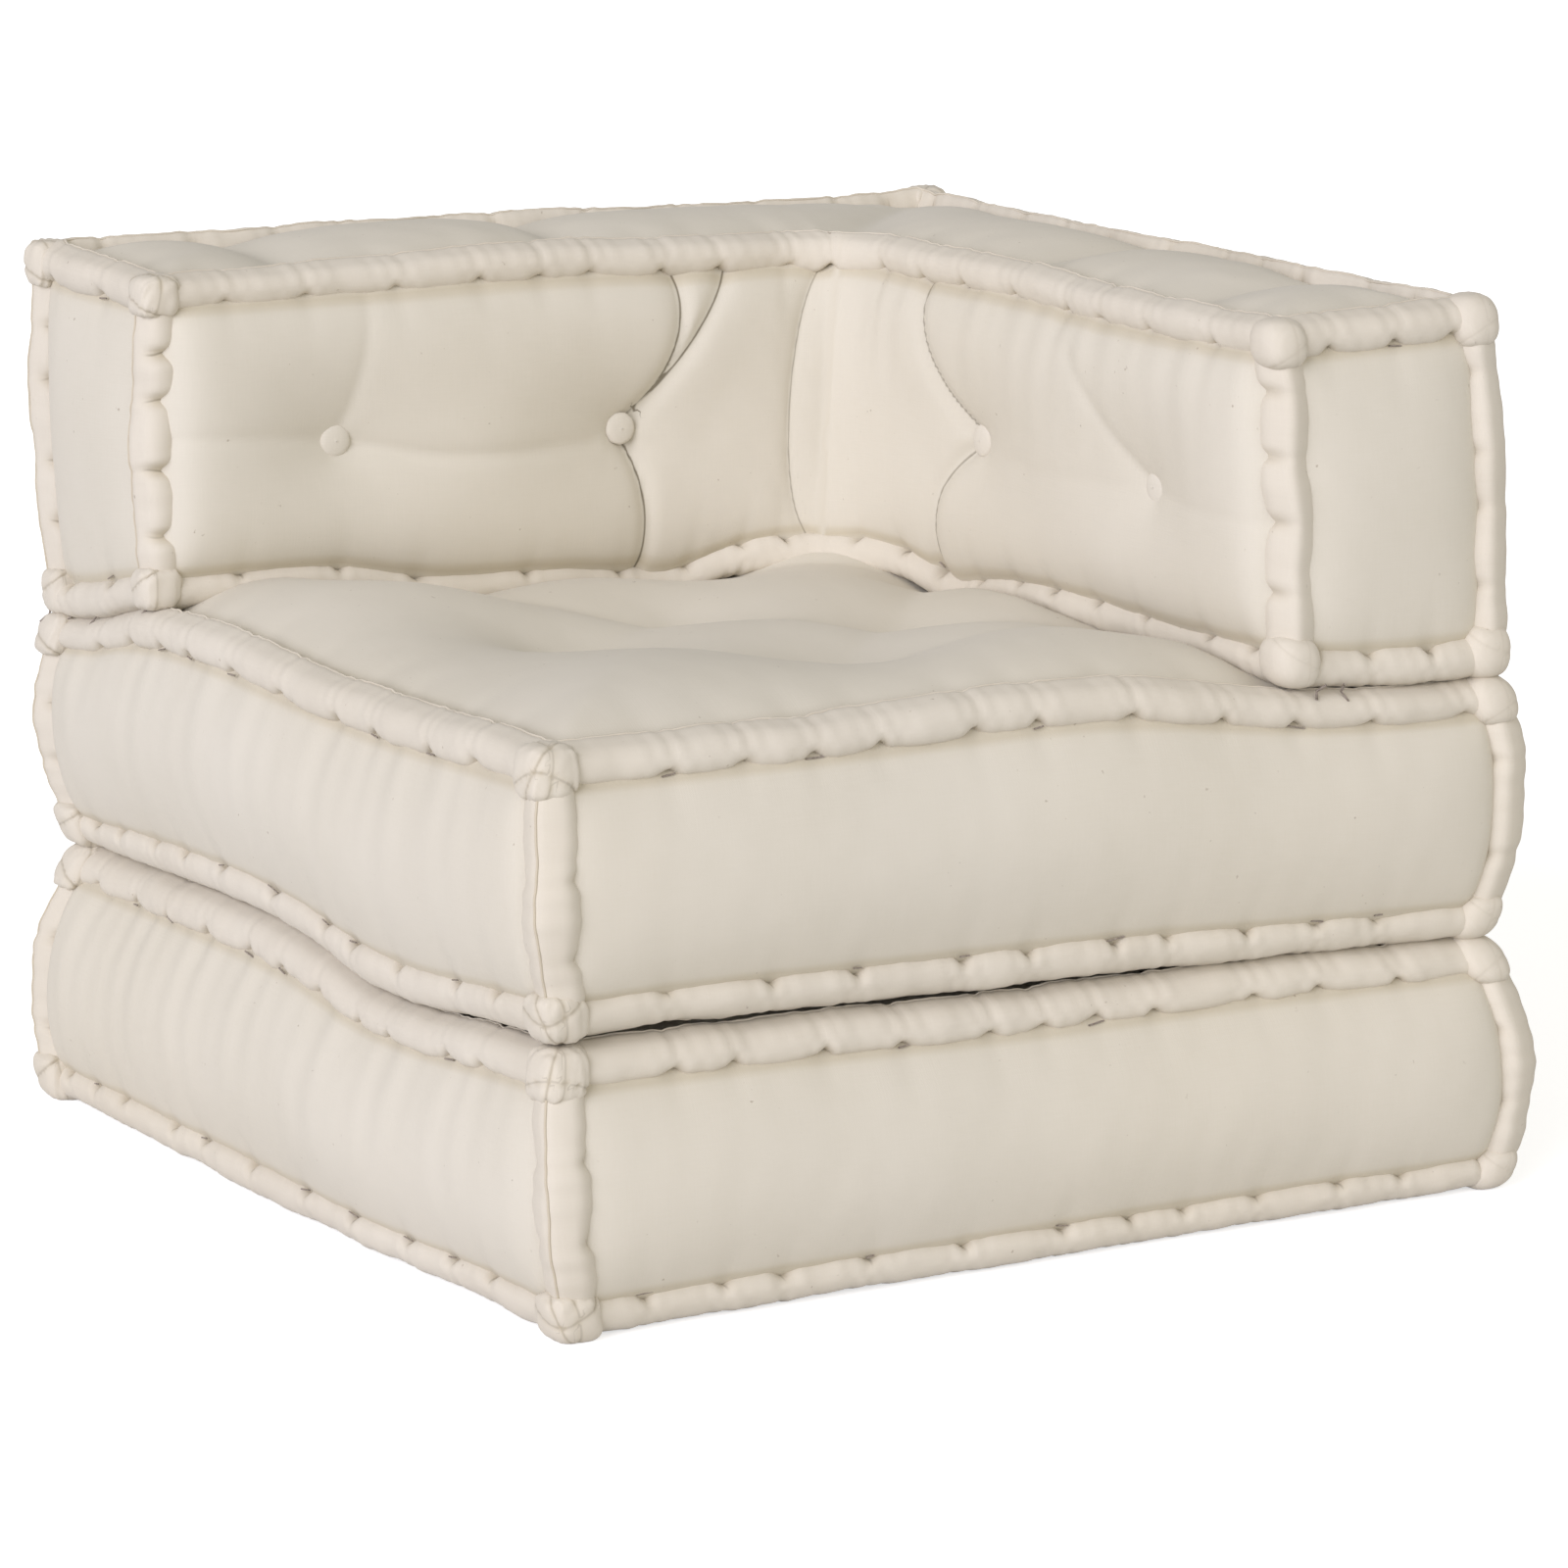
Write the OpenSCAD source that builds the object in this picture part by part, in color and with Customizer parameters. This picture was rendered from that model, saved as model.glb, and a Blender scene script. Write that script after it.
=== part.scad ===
// Corner floor seat of stacked cotton mattresses: a square base mattress, a square seat mattress
// that lies on it, and an L-shaped back cushion sewn along two sides of the seat.
// Millimetres, +Z up, origin at the middle of the underside. The front faces -Y and the left
// side faces -X, both open; the back cushion stands along the rear (+Y) and the right side (+X).

/* [Mattresses] */
// Side of the square base and seat mattresses
side = 700; // [560:10:900]
// Thickness of each square mattress
mattress_h = 175; // [120:5:240]
// Clearance between the base mattress and the seat mattress lying on it
stack_gap = 0.4; // [0.3:0.1:1]

/* [Back cushion] */
// Height of the back cushion above the seat
back_h = 230; // [160:5:320]
// Thickness of the back cushion, front to back
back_t = 175; // [130:5:220]

/* [Rolled edges] */
// Diameter of the stuffed roll sewn along every edge
roll_d = 26; // [20:1:34]

/* [Cloth] */
// Thickness of the cover cloth with its quilted wadding
cloth_t = 2; // [1:0.5:4]
// How far a border cloth lies inside the outermost line of the rolls
border_inset = 5; // [4:0.5:8]

/* [Tufting] */
// Diameter of the waxed tufting twine
twine_d = 2; // [1:0.5:3]
// Diameter of the knot at each end of a tufting twine
knot_d = 7; // [5:0.5:9]
// Diameter of a covered button on the back cushion
button_d = 22; // [16:1:30]
// Thickness of a covered button
button_h = 5; // [3:0.5:5]
// Distance between neighbouring buttons along one wing of the back
button_pitch = 212; // [170:2:240]
// Height of the buttons above the seat
button_rise = 108; // [80:2:150]

/* [Joining stitches] */
// Distance between neighbouring stitches that hold the back cushion to the seat
stitch_pitch = 54; // [30:1:90]
// Diameter of the doubled stitching thread
thread_d = 2; // [1:0.5:3]

/* [Hidden] */
$fn = 48;

CLOTH = [0.87, 0.83, 0.77];
ROLL = [0.90, 0.86, 0.79];
COTTON = [0.95, 0.93, 0.88];
TWINE = [0.62, 0.56, 0.45];

half = side / 2;
roll_r = roll_d / 2;
base_z = 0;
seat_z = mattress_h + stack_gap;
back_z = seat_z + mattress_h;
top_z = back_z + back_h;

// Centre lines of the rolls, and the faces that the borders and the filling reach.
roll_line = half - roll_r;
border_face = half - border_inset;
fill_face = border_face - cloth_t;
panel_edge = half - roll_d;

// The same for the inner side of the L-shaped back.
inner_half = half - back_t;
inner_roll_line = inner_half + roll_r;
inner_border_face = inner_half + border_inset;
inner_fill_face = inner_border_face + cloth_t;
inner_panel_edge = inner_half + roll_d;

// Tufts of the square mattresses, spaced unevenly as hand tufting is, in parts of the half side.
TUFTS = [for (p = [
    [-0.49, 0.53], [0.17, 0.53], [0.53, 0.17], [0.53, -0.49], [-0.13, 0.06],
    [0.19, -0.20], [-0.50, -0.21], [-0.16, -0.57], [0.80, 0.80]]) p * half];

button_z = back_z + button_rise;
first_button = 0;
second_button = first_button - button_pitch;

// ---- shapes shared by the three cushions ----

// A straight round bar from p to q.
module bar(p, q, d) {
    v = q - p;
    translate(p)
        rotate([0, acos(v[2] / norm(v)), atan2(v[1], v[0])])
            cylinder(h = norm(v), d = d);
}

// A closed roll through the given corners at height z, with a rounded block at each corner.
module roll_loop(corners, z) {
    count = len(corners);
    for (i = [0 : count - 1]) {
        here = [corners[i][0], corners[i][1], z];
        next = corners[(i + 1) % count];
        bar(here, [next[0], next[1], z], roll_d);
        translate(here) sphere(d = roll_d);
    }
}

// A block given by its low and high corners.
module block(low, high) {
    translate(low) cube(high - low);
}

// An upright roll at x, y between the top and bottom rolls of a cushion.
module upright_roll(x, y, z, h) {
    bar([x, y, z + roll_d], [x, y, z + h - roll_d], roll_d);
}

function square_corners(s) = [[-s, -s], [s, -s], [s, s], [-s, s]];
function ell_corners(out, inn) = [[-out, out], [out, out], [out, -out], [inn, -out], [inn, inn], [-out, inn]];

// ---- one square mattress whose underside is at height z ----

module mattress_filling(z) {
    top = z + mattress_h;
    block([-panel_edge, -panel_edge, z + cloth_t], [panel_edge, panel_edge, top - cloth_t]);
    block([-fill_face, -panel_edge, z + roll_d], [fill_face, panel_edge, top - roll_d]);
    block([-panel_edge, -fill_face, z + roll_d], [panel_edge, fill_face, top - roll_d]);
}

module mattress_panel(z) {
    block([-panel_edge, -panel_edge, z], [panel_edge, panel_edge, z + cloth_t]);
}

// A border cloth on the front, turned to the other three sides by angle.
module mattress_border(z, angle) {
    rotate([0, 0, angle])
        block([-panel_edge, -border_face, z + roll_d], [panel_edge, -fill_face, z + mattress_h - roll_d]);
}

module mattress_roll(z) {
    roll_loop(square_corners(roll_line), z + roll_r);
}

module mattress_corner(sx, sy, z) {
    upright_roll(sx * roll_line, sy * roll_line, z, mattress_h);
}

// Twines that run through the mattress at every tuft, with a knot at both ends.
module mattress_ties(z) {
    for (p = TUFTS) {
        foot = [p[0], p[1], z];
        translate(foot) cylinder(h = mattress_h, d = twine_d);
        translate(foot) cylinder(h = cloth_t, d = knot_d);
        translate(foot + [0, 0, mattress_h - cloth_t]) cylinder(h = cloth_t, d = knot_d);
    }
}

// ---- the L-shaped back ----

// An upright L-shaped prism between heights z0 and z1.
module ell_prism(out, inn, z0, z1) {
    translate([0, 0, z0])
        linear_extrude(height = z1 - z0)
            polygon(ell_corners(out, inn));
}

// Everything that fills both wings, before it is cut into its two layers of batting.
module back_filling() {
    ell_prism(panel_edge, inner_panel_edge, back_z + cloth_t, top_z - cloth_t);
    difference() {
        ell_prism(fill_face, inner_fill_face, back_z + roll_d, top_z - roll_d);
        for (p = [[-half, panel_edge], [panel_edge, panel_edge], [panel_edge, -half],
                  [inner_half, -half], [-half, inner_half]])
            translate([p[0], p[1], back_z]) cube([roll_d, roll_d, back_h]);
    }
}

// The space behind the plane on which the two layers of batting meet.
module rear_wing_space() {
    block([-side, inner_fill_face, back_z - roll_d], [side, side, top_z + roll_d]);
}

// Swaps X and Y, which turns a piece of the rear wing into the same piece of the side wing.
module to_side_wing() {
    mirror([1, -1, 0]) children();
}

module wing_inner_border(reach) {
    block([-panel_edge, inner_border_face, back_z + roll_d], [reach, inner_fill_face, top_z - roll_d]);
}

module wing_outer_border() {
    block([-panel_edge, fill_face, back_z + roll_d], [panel_edge, border_face, top_z - roll_d]);
}

module wing_end_border() {
    block([-border_face, inner_panel_edge, back_z + roll_d], [-fill_face, panel_edge, top_z - roll_d]);
}

module back_upright(x, y) {
    upright_roll(x, y, back_z, back_h);
}

// A covered button with a low dome, its flat side at y and facing +Y.
module button_at(x, y) {
    rim_h = button_h / 2;
    dome_r = (pow(button_d / 2, 2) + pow(rim_h, 2)) / (2 * rim_h);
    translate([x, y, button_z])
        rotate([90, 0, 0]) {
            cylinder(h = rim_h, d = button_d);
            intersection() {
                translate([0, 0, button_h - dome_r]) sphere(r = dome_r, $fn = 96);
                translate([0, 0, rim_h]) cylinder(h = button_h, d = button_d);
            }
        }
}

// A flat felt washer on the outer side of a wing.
module washer_at(x) {
    translate([x, half, button_z])
        rotate([90, 0, 0])
            cylinder(h = border_inset, d = button_d);
}

module wing_ties() {
    for (x = [first_button, second_button])
        bar([x, inner_border_face, button_z], [x, border_face, button_z], twine_d);
}

// Whip stitches through the back cushion's lower roll and the seat's upper roll.
module wing_stitches() {
    reach = stitch_pitch / 3;
    rows = floor(panel_edge / stitch_pitch);
    for (i = [-rows : rows]) {
        low = [i * stitch_pitch - reach / 2, half - border_inset, back_z - roll_r / 2];
        bar(low, low + [reach, 0, roll_r], thread_d);
    }
}

// ---- nodes of the base mattress ----

module base_filling() {
    color(COTTON) mattress_filling(base_z);
}

module base_top_panel() {
    color(CLOTH) mattress_panel(base_z + mattress_h - cloth_t);
}

module base_bottom_panel() {
    color(CLOTH) mattress_panel(base_z);
}

module base_front_border() {
    color(CLOTH) mattress_border(base_z, 0);
}

module base_rear_border() {
    color(CLOTH) mattress_border(base_z, 180);
}

module base_left_border() {
    color(CLOTH) mattress_border(base_z, -90);
}

module base_right_border() {
    color(CLOTH) mattress_border(base_z, 90);
}

module base_top_roll() {
    color(ROLL) mattress_roll(base_z + mattress_h - roll_d);
}

module base_bottom_roll() {
    color(ROLL) mattress_roll(base_z);
}

module base_front_left_roll() {
    color(ROLL) mattress_corner(-1, -1, base_z);
}

module base_front_right_roll() {
    color(ROLL) mattress_corner(1, -1, base_z);
}

module base_rear_left_roll() {
    color(ROLL) mattress_corner(-1, 1, base_z);
}

module base_rear_right_roll() {
    color(ROLL) mattress_corner(1, 1, base_z);
}

module base_tuft_ties() {
    color(TWINE) mattress_ties(base_z);
}

// ---- nodes of the seat mattress ----

module seat_filling() {
    color(COTTON) mattress_filling(seat_z);
}

module seat_top_panel() {
    color(CLOTH) mattress_panel(seat_z + mattress_h - cloth_t);
}

module seat_bottom_panel() {
    color(CLOTH) mattress_panel(seat_z);
}

module seat_front_border() {
    color(CLOTH) mattress_border(seat_z, 0);
}

module seat_rear_border() {
    color(CLOTH) mattress_border(seat_z, 180);
}

module seat_left_border() {
    color(CLOTH) mattress_border(seat_z, -90);
}

module seat_right_border() {
    color(CLOTH) mattress_border(seat_z, 90);
}

module seat_top_roll() {
    color(ROLL) mattress_roll(seat_z + mattress_h - roll_d);
}

module seat_bottom_roll() {
    color(ROLL) mattress_roll(seat_z);
}

module seat_front_left_roll() {
    color(ROLL) mattress_corner(-1, -1, seat_z);
}

module seat_front_right_roll() {
    color(ROLL) mattress_corner(1, -1, seat_z);
}

module seat_rear_left_roll() {
    color(ROLL) mattress_corner(-1, 1, seat_z);
}

module seat_rear_right_roll() {
    color(ROLL) mattress_corner(1, 1, seat_z);
}

module seat_tuft_ties() {
    color(TWINE) mattress_ties(seat_z);
}

// ---- nodes of the back cushion ----

module back_rear_filling() {
    color(COTTON) intersection() {
        back_filling();
        rear_wing_space();
    }
}

module back_side_filling() {
    color(COTTON) difference() {
        back_filling();
        rear_wing_space();
    }
}

module back_top_panel() {
    color(CLOTH) ell_prism(panel_edge, inner_panel_edge, top_z - cloth_t, top_z);
}

module back_bottom_panel() {
    color(CLOTH) ell_prism(panel_edge, inner_panel_edge, back_z, back_z + cloth_t);
}

module back_rear_inner_border() {
    color(CLOTH) wing_inner_border(inner_fill_face);
}

module back_rear_outer_border() {
    color(CLOTH) wing_outer_border();
}

module back_left_end_border() {
    color(CLOTH) wing_end_border();
}

module back_side_inner_border() {
    color(CLOTH) to_side_wing() wing_inner_border(inner_border_face);
}

module back_side_outer_border() {
    color(CLOTH) to_side_wing() wing_outer_border();
}

module back_front_end_border() {
    color(CLOTH) to_side_wing() wing_end_border();
}

module back_top_roll() {
    color(ROLL) roll_loop(ell_corners(roll_line, inner_roll_line), top_z - roll_r);
}

module back_bottom_roll() {
    color(ROLL) roll_loop(ell_corners(roll_line, inner_roll_line), back_z + roll_r);
}

module back_rear_corner_roll() {
    color(ROLL) back_upright(roll_line, roll_line);
}

module back_left_outer_roll() {
    color(ROLL) back_upright(-roll_line, roll_line);
}

module back_left_inner_roll() {
    color(ROLL) back_upright(-roll_line, inner_roll_line);
}

module back_front_outer_roll() {
    color(ROLL) back_upright(roll_line, -roll_line);
}

module back_front_inner_roll() {
    color(ROLL) back_upright(inner_roll_line, -roll_line);
}

module rear_left_button() {
    color(CLOTH) button_at(second_button, inner_border_face);
}

module rear_middle_button() {
    color(CLOTH) button_at(first_button, inner_border_face);
}

module side_middle_button() {
    color(CLOTH) to_side_wing() button_at(first_button, inner_border_face);
}

module side_front_button() {
    color(CLOTH) to_side_wing() button_at(second_button, inner_border_face);
}

module rear_left_washer() {
    color(TWINE) washer_at(second_button);
}

module rear_middle_washer() {
    color(TWINE) washer_at(first_button);
}

module side_middle_washer() {
    color(TWINE) to_side_wing() washer_at(first_button);
}

module side_front_washer() {
    color(TWINE) to_side_wing() washer_at(second_button);
}

module back_tuft_ties() {
    color(TWINE) {
        wing_ties();
        to_side_wing() wing_ties();
    }
}

module joining_stitches() {
    color(TWINE) {
        wing_stitches();
        to_side_wing() wing_stitches();
    }
}

base_filling();
base_top_panel();
base_bottom_panel();
base_front_border();
base_rear_border();
base_left_border();
base_right_border();
base_top_roll();
base_bottom_roll();
base_front_left_roll();
base_front_right_roll();
base_rear_left_roll();
base_rear_right_roll();
base_tuft_ties();
seat_filling();
seat_top_panel();
seat_bottom_panel();
seat_front_border();
seat_rear_border();
seat_left_border();
seat_right_border();
seat_top_roll();
seat_bottom_roll();
seat_front_left_roll();
seat_front_right_roll();
seat_rear_left_roll();
seat_rear_right_roll();
seat_tuft_ties();
back_rear_filling();
back_side_filling();
back_top_panel();
back_bottom_panel();
back_rear_inner_border();
back_rear_outer_border();
back_left_end_border();
back_side_inner_border();
back_side_outer_border();
back_front_end_border();
back_top_roll();
back_bottom_roll();
back_rear_corner_roll();
back_left_outer_roll();
back_left_inner_roll();
back_front_outer_roll();
back_front_inner_roll();
rear_left_button();
rear_middle_button();
side_middle_button();
side_front_button();
rear_left_washer();
rear_middle_washer();
side_middle_washer();
side_front_washer();
back_tuft_ties();
joining_stitches();
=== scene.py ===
"""Corner floor seat of stacked cotton mattresses: the looks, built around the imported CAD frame."""

import math

import bpy
import numpy as np
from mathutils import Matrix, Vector


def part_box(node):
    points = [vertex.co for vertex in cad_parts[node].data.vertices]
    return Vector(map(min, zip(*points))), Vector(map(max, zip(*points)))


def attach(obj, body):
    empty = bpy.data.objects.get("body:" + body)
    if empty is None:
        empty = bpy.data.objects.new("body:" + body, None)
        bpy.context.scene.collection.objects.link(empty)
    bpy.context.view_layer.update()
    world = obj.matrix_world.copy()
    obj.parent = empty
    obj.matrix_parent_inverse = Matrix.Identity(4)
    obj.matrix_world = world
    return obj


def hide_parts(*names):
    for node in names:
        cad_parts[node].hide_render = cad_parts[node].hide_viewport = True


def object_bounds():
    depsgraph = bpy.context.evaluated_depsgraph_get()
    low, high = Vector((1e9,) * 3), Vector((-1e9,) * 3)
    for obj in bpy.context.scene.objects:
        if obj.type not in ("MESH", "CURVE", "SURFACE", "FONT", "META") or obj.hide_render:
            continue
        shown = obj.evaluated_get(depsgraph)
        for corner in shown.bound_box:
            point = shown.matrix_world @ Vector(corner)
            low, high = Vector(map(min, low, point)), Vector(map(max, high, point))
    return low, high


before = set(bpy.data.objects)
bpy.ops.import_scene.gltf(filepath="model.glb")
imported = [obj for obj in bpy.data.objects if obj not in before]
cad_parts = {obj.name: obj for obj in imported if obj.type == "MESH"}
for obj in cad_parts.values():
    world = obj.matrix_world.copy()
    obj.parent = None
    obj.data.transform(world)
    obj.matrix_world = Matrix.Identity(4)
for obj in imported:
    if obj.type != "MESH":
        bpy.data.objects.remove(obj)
cad_low, cad_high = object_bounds()

# ---- sizes read from the frame, in metres ----
HALF = cad_high.x
ROLL_R = (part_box("base_bottom_roll")[1].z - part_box("base_bottom_roll")[0].z) / 2
SEAM = HALF - ROLL_R                                    # centre line of the rolls
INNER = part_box("back_front_inner_roll")[0].x            # inner face of the back cushion
INNER_SEAM = INNER + ROLL_R
BASE_Z = (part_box("base_bottom_roll")[0].z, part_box("base_top_roll")[1].z)
SEAT_Z = (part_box("seat_bottom_roll")[0].z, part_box("seat_top_roll")[1].z)
BACK_Z = (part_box("back_bottom_roll")[0].z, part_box("back_top_roll")[1].z)

# ---- sizes of the cloth work, in metres where nothing else is said ----
MM = 0.001
CLEAR_OF_FLOOR = 0.3 * MM
SQUARE_CELL, BACK_CELL = 0.0084, 0.0066                 # mesh cells of the covers before subdivision
STITCH_PITCH, UPRIGHT_PITCH = 0.057, 0.045              # along the level rolls, and up the upright ones
SQUARE_ROLL, BACK_ROLL = 15, 13.5                       # radius of the upright rolls, in mm
BEND, CONCAVE_BEND = 0.014, 0.02                        # where the rolls start to turn at a corner

# Tufts of the square mattresses, in parts of the half side, as in the CAD.
TUFTS = [(-0.49, 0.53), (0.17, 0.53), (0.53, 0.17), (0.53, -0.49), (-0.13, 0.06),
         (0.19, -0.20), (-0.50, -0.21), (-0.16, -0.57), (0.80, 0.80)]

# How far the soft stack has settled away from the straight one at each level: a place in parts of the
# half side, and its offset in millimetres.
LEVELS = {
    "floor": [((-1, -1), (4, -7, 0)), ((-1, 1), (-8, 4, 0)), ((1, -1), (6, -11, 0)),
              ((1, 1), (0, 0, 0)), ((-1, 0), (-9, 0, 0)), ((0, -1), (2, -7, 0))],
    "base_top": [((-1, -1), (0, 1, 10)), ((-1, 1), (12, -6, 3)), ((1, -1), (-2, 0, -9)),
                 ((1, 1), (0, 0, 0)), ((0, -1), (0, 0, -3)), ((0.55, -1), (0, 0, -2)),
                 ((-0.45, -1), (0, 0, 3)), ((-0.8, -1), (0, 0, 6)), ((-1, -0.58), (-1, 0, -11)),
                 ((-1, 0.22), (-1, 0, 11))],
    "seat_bottom": [((-1, -1), (-2, -1, 11)), ((-1, 1), (10, -6, 3)), ((1, -1), (-5, 1, -10)),
                    ((1, 1), (0, 0, 0)), ((0, -1), (0, -1, 1)), ((0.55, -1), (0, -1, -4)),
                    ((-0.45, -1), (0, -1, 4)), ((-0.78, -1), (0, -2, 13)),
                    ((-1, -0.58), (0, 0, -11)), ((-1, 0.22), (0, 0, 11))],
    "seat": [((-1, -1), (-5, 5, 12)), ((-1, 1), (-3, -2, -14)), ((1, 1), (0, 0, 0)),
             ((-1, 0.42), (-5, 5, 17)), ((-1, -0.2), (-2, 0, 9)), ((-0.45, -1), (0, 0, 12)),
             ((-0.1, -1), (0, 0, 16)), ((0.15, -1), (0, 0, 21)), ((0.45, -1), (1, -2, -3)),
             ((0.75, -1), (2, -2, -11)), ((1, -1), (2, -3, -12)), ((0, 0.5), (0, 0, -5)),
             ((0.5, 0), (0, 0, 0)), ((0, -0.3), (0, 0, 3))],
    "top": [((-1, 1), (-12, 6, 16)), ((1, -1), (-9, 8, 7)), ((1, 1), (8, -2, 9)), ((0, 1), (0, 0, 12)),
            ((-1, 0.5), (0, -1, -2)), ((0.5, -1), (-8, 5, -6)), ((0.5, 0.5), (-4, -4, 0)),
            ((1, 0.3), (6, 0, 4))],
}
# How far each settled place reaches, in metres.
PLAN_SPREAD = {"floor": 0.12, "base_top": 0.09, "seat_bottom": 0.09, "seat": 0.08, "top": 0.12}


# ---- small numeric helpers ----

FAR = 9.0                                               # a distance beyond any on the object


def smooth(t):
    """0 below 0 and 1 above 1, with a smooth step between."""
    t = np.clip(t, 0.0, 1.0)
    return t * t * (3 - 2 * t)


def bell(d, width):
    """1 at d = 0, falling away on both sides."""
    return np.exp(-(d / width) ** 2)


def waves(s, seed, lengths):
    """A smooth seeded wobble of s, from -1 to 1, made of sines of the given wavelengths."""
    rng = np.random.default_rng(seed)
    total = np.zeros_like(s)
    for length in lengths:
        phase = rng.uniform(0, 2 * math.pi)
        total += rng.uniform(0.6, 1.0) * np.sin(2 * math.pi * s / length + phase)
    return total / len(lengths)


def wobble2(u, v, seed, lengths):
    """A smooth seeded wobble of two coordinates, made of plane waves in seeded directions."""
    rng = np.random.default_rng(seed)
    total = np.zeros_like(u)
    for length in lengths:
        for _ in range(3):
            turn = rng.uniform(0, 2 * math.pi)
            phase = rng.uniform(0, 2 * math.pi)
            total += np.sin(2 * math.pi * (u * math.cos(turn) + v * math.sin(turn)) / length + phase)
    return total / (3 * len(lengths))


def segment_distance(x, y, a, b):
    """The distance of points x, y from the segment a-b, and how far along it they lie, 0 to 1."""
    ax, ay = a
    dx, dy = b[0] - ax, b[1] - ay
    t = np.clip(((x - ax) * dx + (y - ay) * dy) / (dx * dx + dy * dy), 0, 1)
    return np.hypot(x - ax - t * dx, y - ay - t * dy), t


def level_offset(x, y, level):
    """How far the stack has settled at points x, y of a level, between the places that LEVELS gives."""
    total = np.zeros((len(x), 3))
    weight = np.full(len(x), 1e-6)
    for (px, py), offset in LEVELS[level]:
        w = np.exp(-((x - px * HALF) ** 2 + (y - py * HALF) ** 2) / (2 * PLAN_SPREAD[level] ** 2))
        total += w[:, None] * np.array(offset) * MM
        weight += w
    return total / weight[:, None]


# ---- meshes ----

def add_object(name, data):
    """A new object in the scene."""
    made = bpy.data.objects.new(name, data)
    bpy.context.scene.collection.objects.link(made)
    return made


def make_mesh(name, points, faces, **fields):
    """A new smooth-shaded object, with a vector for each point stored in each of the named fields."""
    mesh = bpy.data.meshes.new(name)
    mesh.from_pydata(np.asarray(points).tolist(), [], faces)
    mesh.polygons.foreach_set("use_smooth", [True] * len(mesh.polygons))
    for field, values in fields.items():
        layer = mesh.attributes.new(field, "FLOAT_VECTOR", "POINT")
        layer.data.foreach_set("vector", np.asarray(values, np.float32).ravel())
    mesh.update()
    return add_object(name, mesh)


def vectors(items, field):
    """One field of a mesh's vertices or of an attribute's data, as rows of three numbers."""
    flat = np.zeros(len(items) * 3, np.float32)
    items.foreach_get(field, flat)
    return flat.reshape(-1, 3).astype(float)


def grid_quads(rows, cols, closed_rows=False, closed_cols=False, first=0):
    """Quads of a grid of points stored row by row, from index first."""
    r = np.arange(rows if closed_rows else rows - 1)
    c = np.arange(cols if closed_cols else cols - 1)
    r, c = np.meshgrid(r, c, indexing="ij")
    r2, c2 = (r + 1) % rows, (c + 1) % cols
    quads = np.stack([r * cols + c, r2 * cols + c, r2 * cols + c2, r * cols + c2], axis=-1)
    return quads.reshape(-1, 4) + first


# ---- the stuffed cloth skin of a cushion ----

TOP, BOTTOM, FRONT, RIGHT, REAR, LEFT = range(6)
NORMALS = np.array([(0, 0, 1), (0, 0, -1), (0, -1, 0), (1, 0, 0), (0, 1, 0), (-1, 0, 0)], float)


def corner_round(p, t):
    """How the stuffing rounds the inside corner of the back cushion, most of all at its foot."""
    reach = (185 - 122 * t) * MM
    ax, ay = INNER_SEAM - p[:, 0], INNER_SEAM - p[:, 1]
    along, off = np.maximum(ax, ay), np.minimum(ax, ay)
    turn = math.pi / 4 * (1 + np.clip(along / reach, 0, 1))
    forward = (np.sin(turn) - 1) * reach
    across = np.clip(along, 0, None) - reach + np.cos(turn) * reach
    across = np.where(along > reach, 0, across)
    fade = np.exp(-(off / 0.07) ** 2) * np.exp(-(np.minimum(along, 0) / 0.03) ** 2)
    on_rear = ax > ay
    return np.stack([np.where(on_rear, across, forward), np.where(on_rear, forward, across)], axis=1) * \
        fade[:, None]


class Cushion:
    """One cushion of the stack: its plan, its heights, and how it bows out and settles."""

    def __init__(self, name, body, z, breaks, tiles, levels, bow, seed, bumps=()):
        self.name, self.body, self.z0, self.z1 = name, body, z[0], z[1]
        self.breaks, self.tiles, self.levels = breaks, tiles, levels
        self.bow, self.seed, self.bumps = bow, seed, bumps
        self.low, self.high = z[0] + ROLL_R, z[1] - ROLL_R

    def settle(self, p):
        """Moves points from the cushion's straight box to where the soft cushion has settled."""
        t = np.clip((p[:, 2] - self.z0) / (self.z1 - self.z0), 0, 1)
        barrel = self.bow * np.sin(math.pi * t)
        out = p.copy()
        for axis in (0, 1):
            share = np.clip(p[:, axis] / HALF, -1.1, 1.1)
            out[:, axis] += barrel * np.sign(share) * np.abs(share) ** 3
        low = level_offset(p[:, 0], p[:, 1], self.levels[0])
        high = level_offset(p[:, 0], p[:, 1], self.levels[1])
        out += (1 - t)[:, None] * low + t[:, None] * high
        if len(self.tiles) > 1:
            out[:, :2] += corner_round(p, t)
        for centre, reach, offset in self.bumps:
            d = (p - np.array(centre) * MM) / (np.array(reach) * MM)
            out += np.exp(-(d ** 2).sum(axis=1))[:, None] * np.array(offset) * MM
        return out

    def outline(self):
        """The corners of the plan at the seams, anticlockwise from above."""
        if len(self.tiles) == 1:
            return [(-SEAM, -SEAM), (SEAM, -SEAM), (SEAM, SEAM), (-SEAM, SEAM)]
        return [(-SEAM, INNER_SEAM), (INNER_SEAM, INNER_SEAM), (INNER_SEAM, -SEAM),
                (SEAM, -SEAM), (SEAM, SEAM), (-SEAM, SEAM)]

    def edges(self):
        """The two corners of each edge of the outline."""
        corners = self.outline()
        return list(zip(corners, corners[1:] + corners[:1]))

    def from_edge(self, x, y):
        """How far points x, y are from the outline of the plan."""
        nearest = np.full_like(x, FAR)
        for a, b in self.edges():
            nearest = np.minimum(nearest, segment_distance(x, y, a, b)[0])
        return nearest


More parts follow.
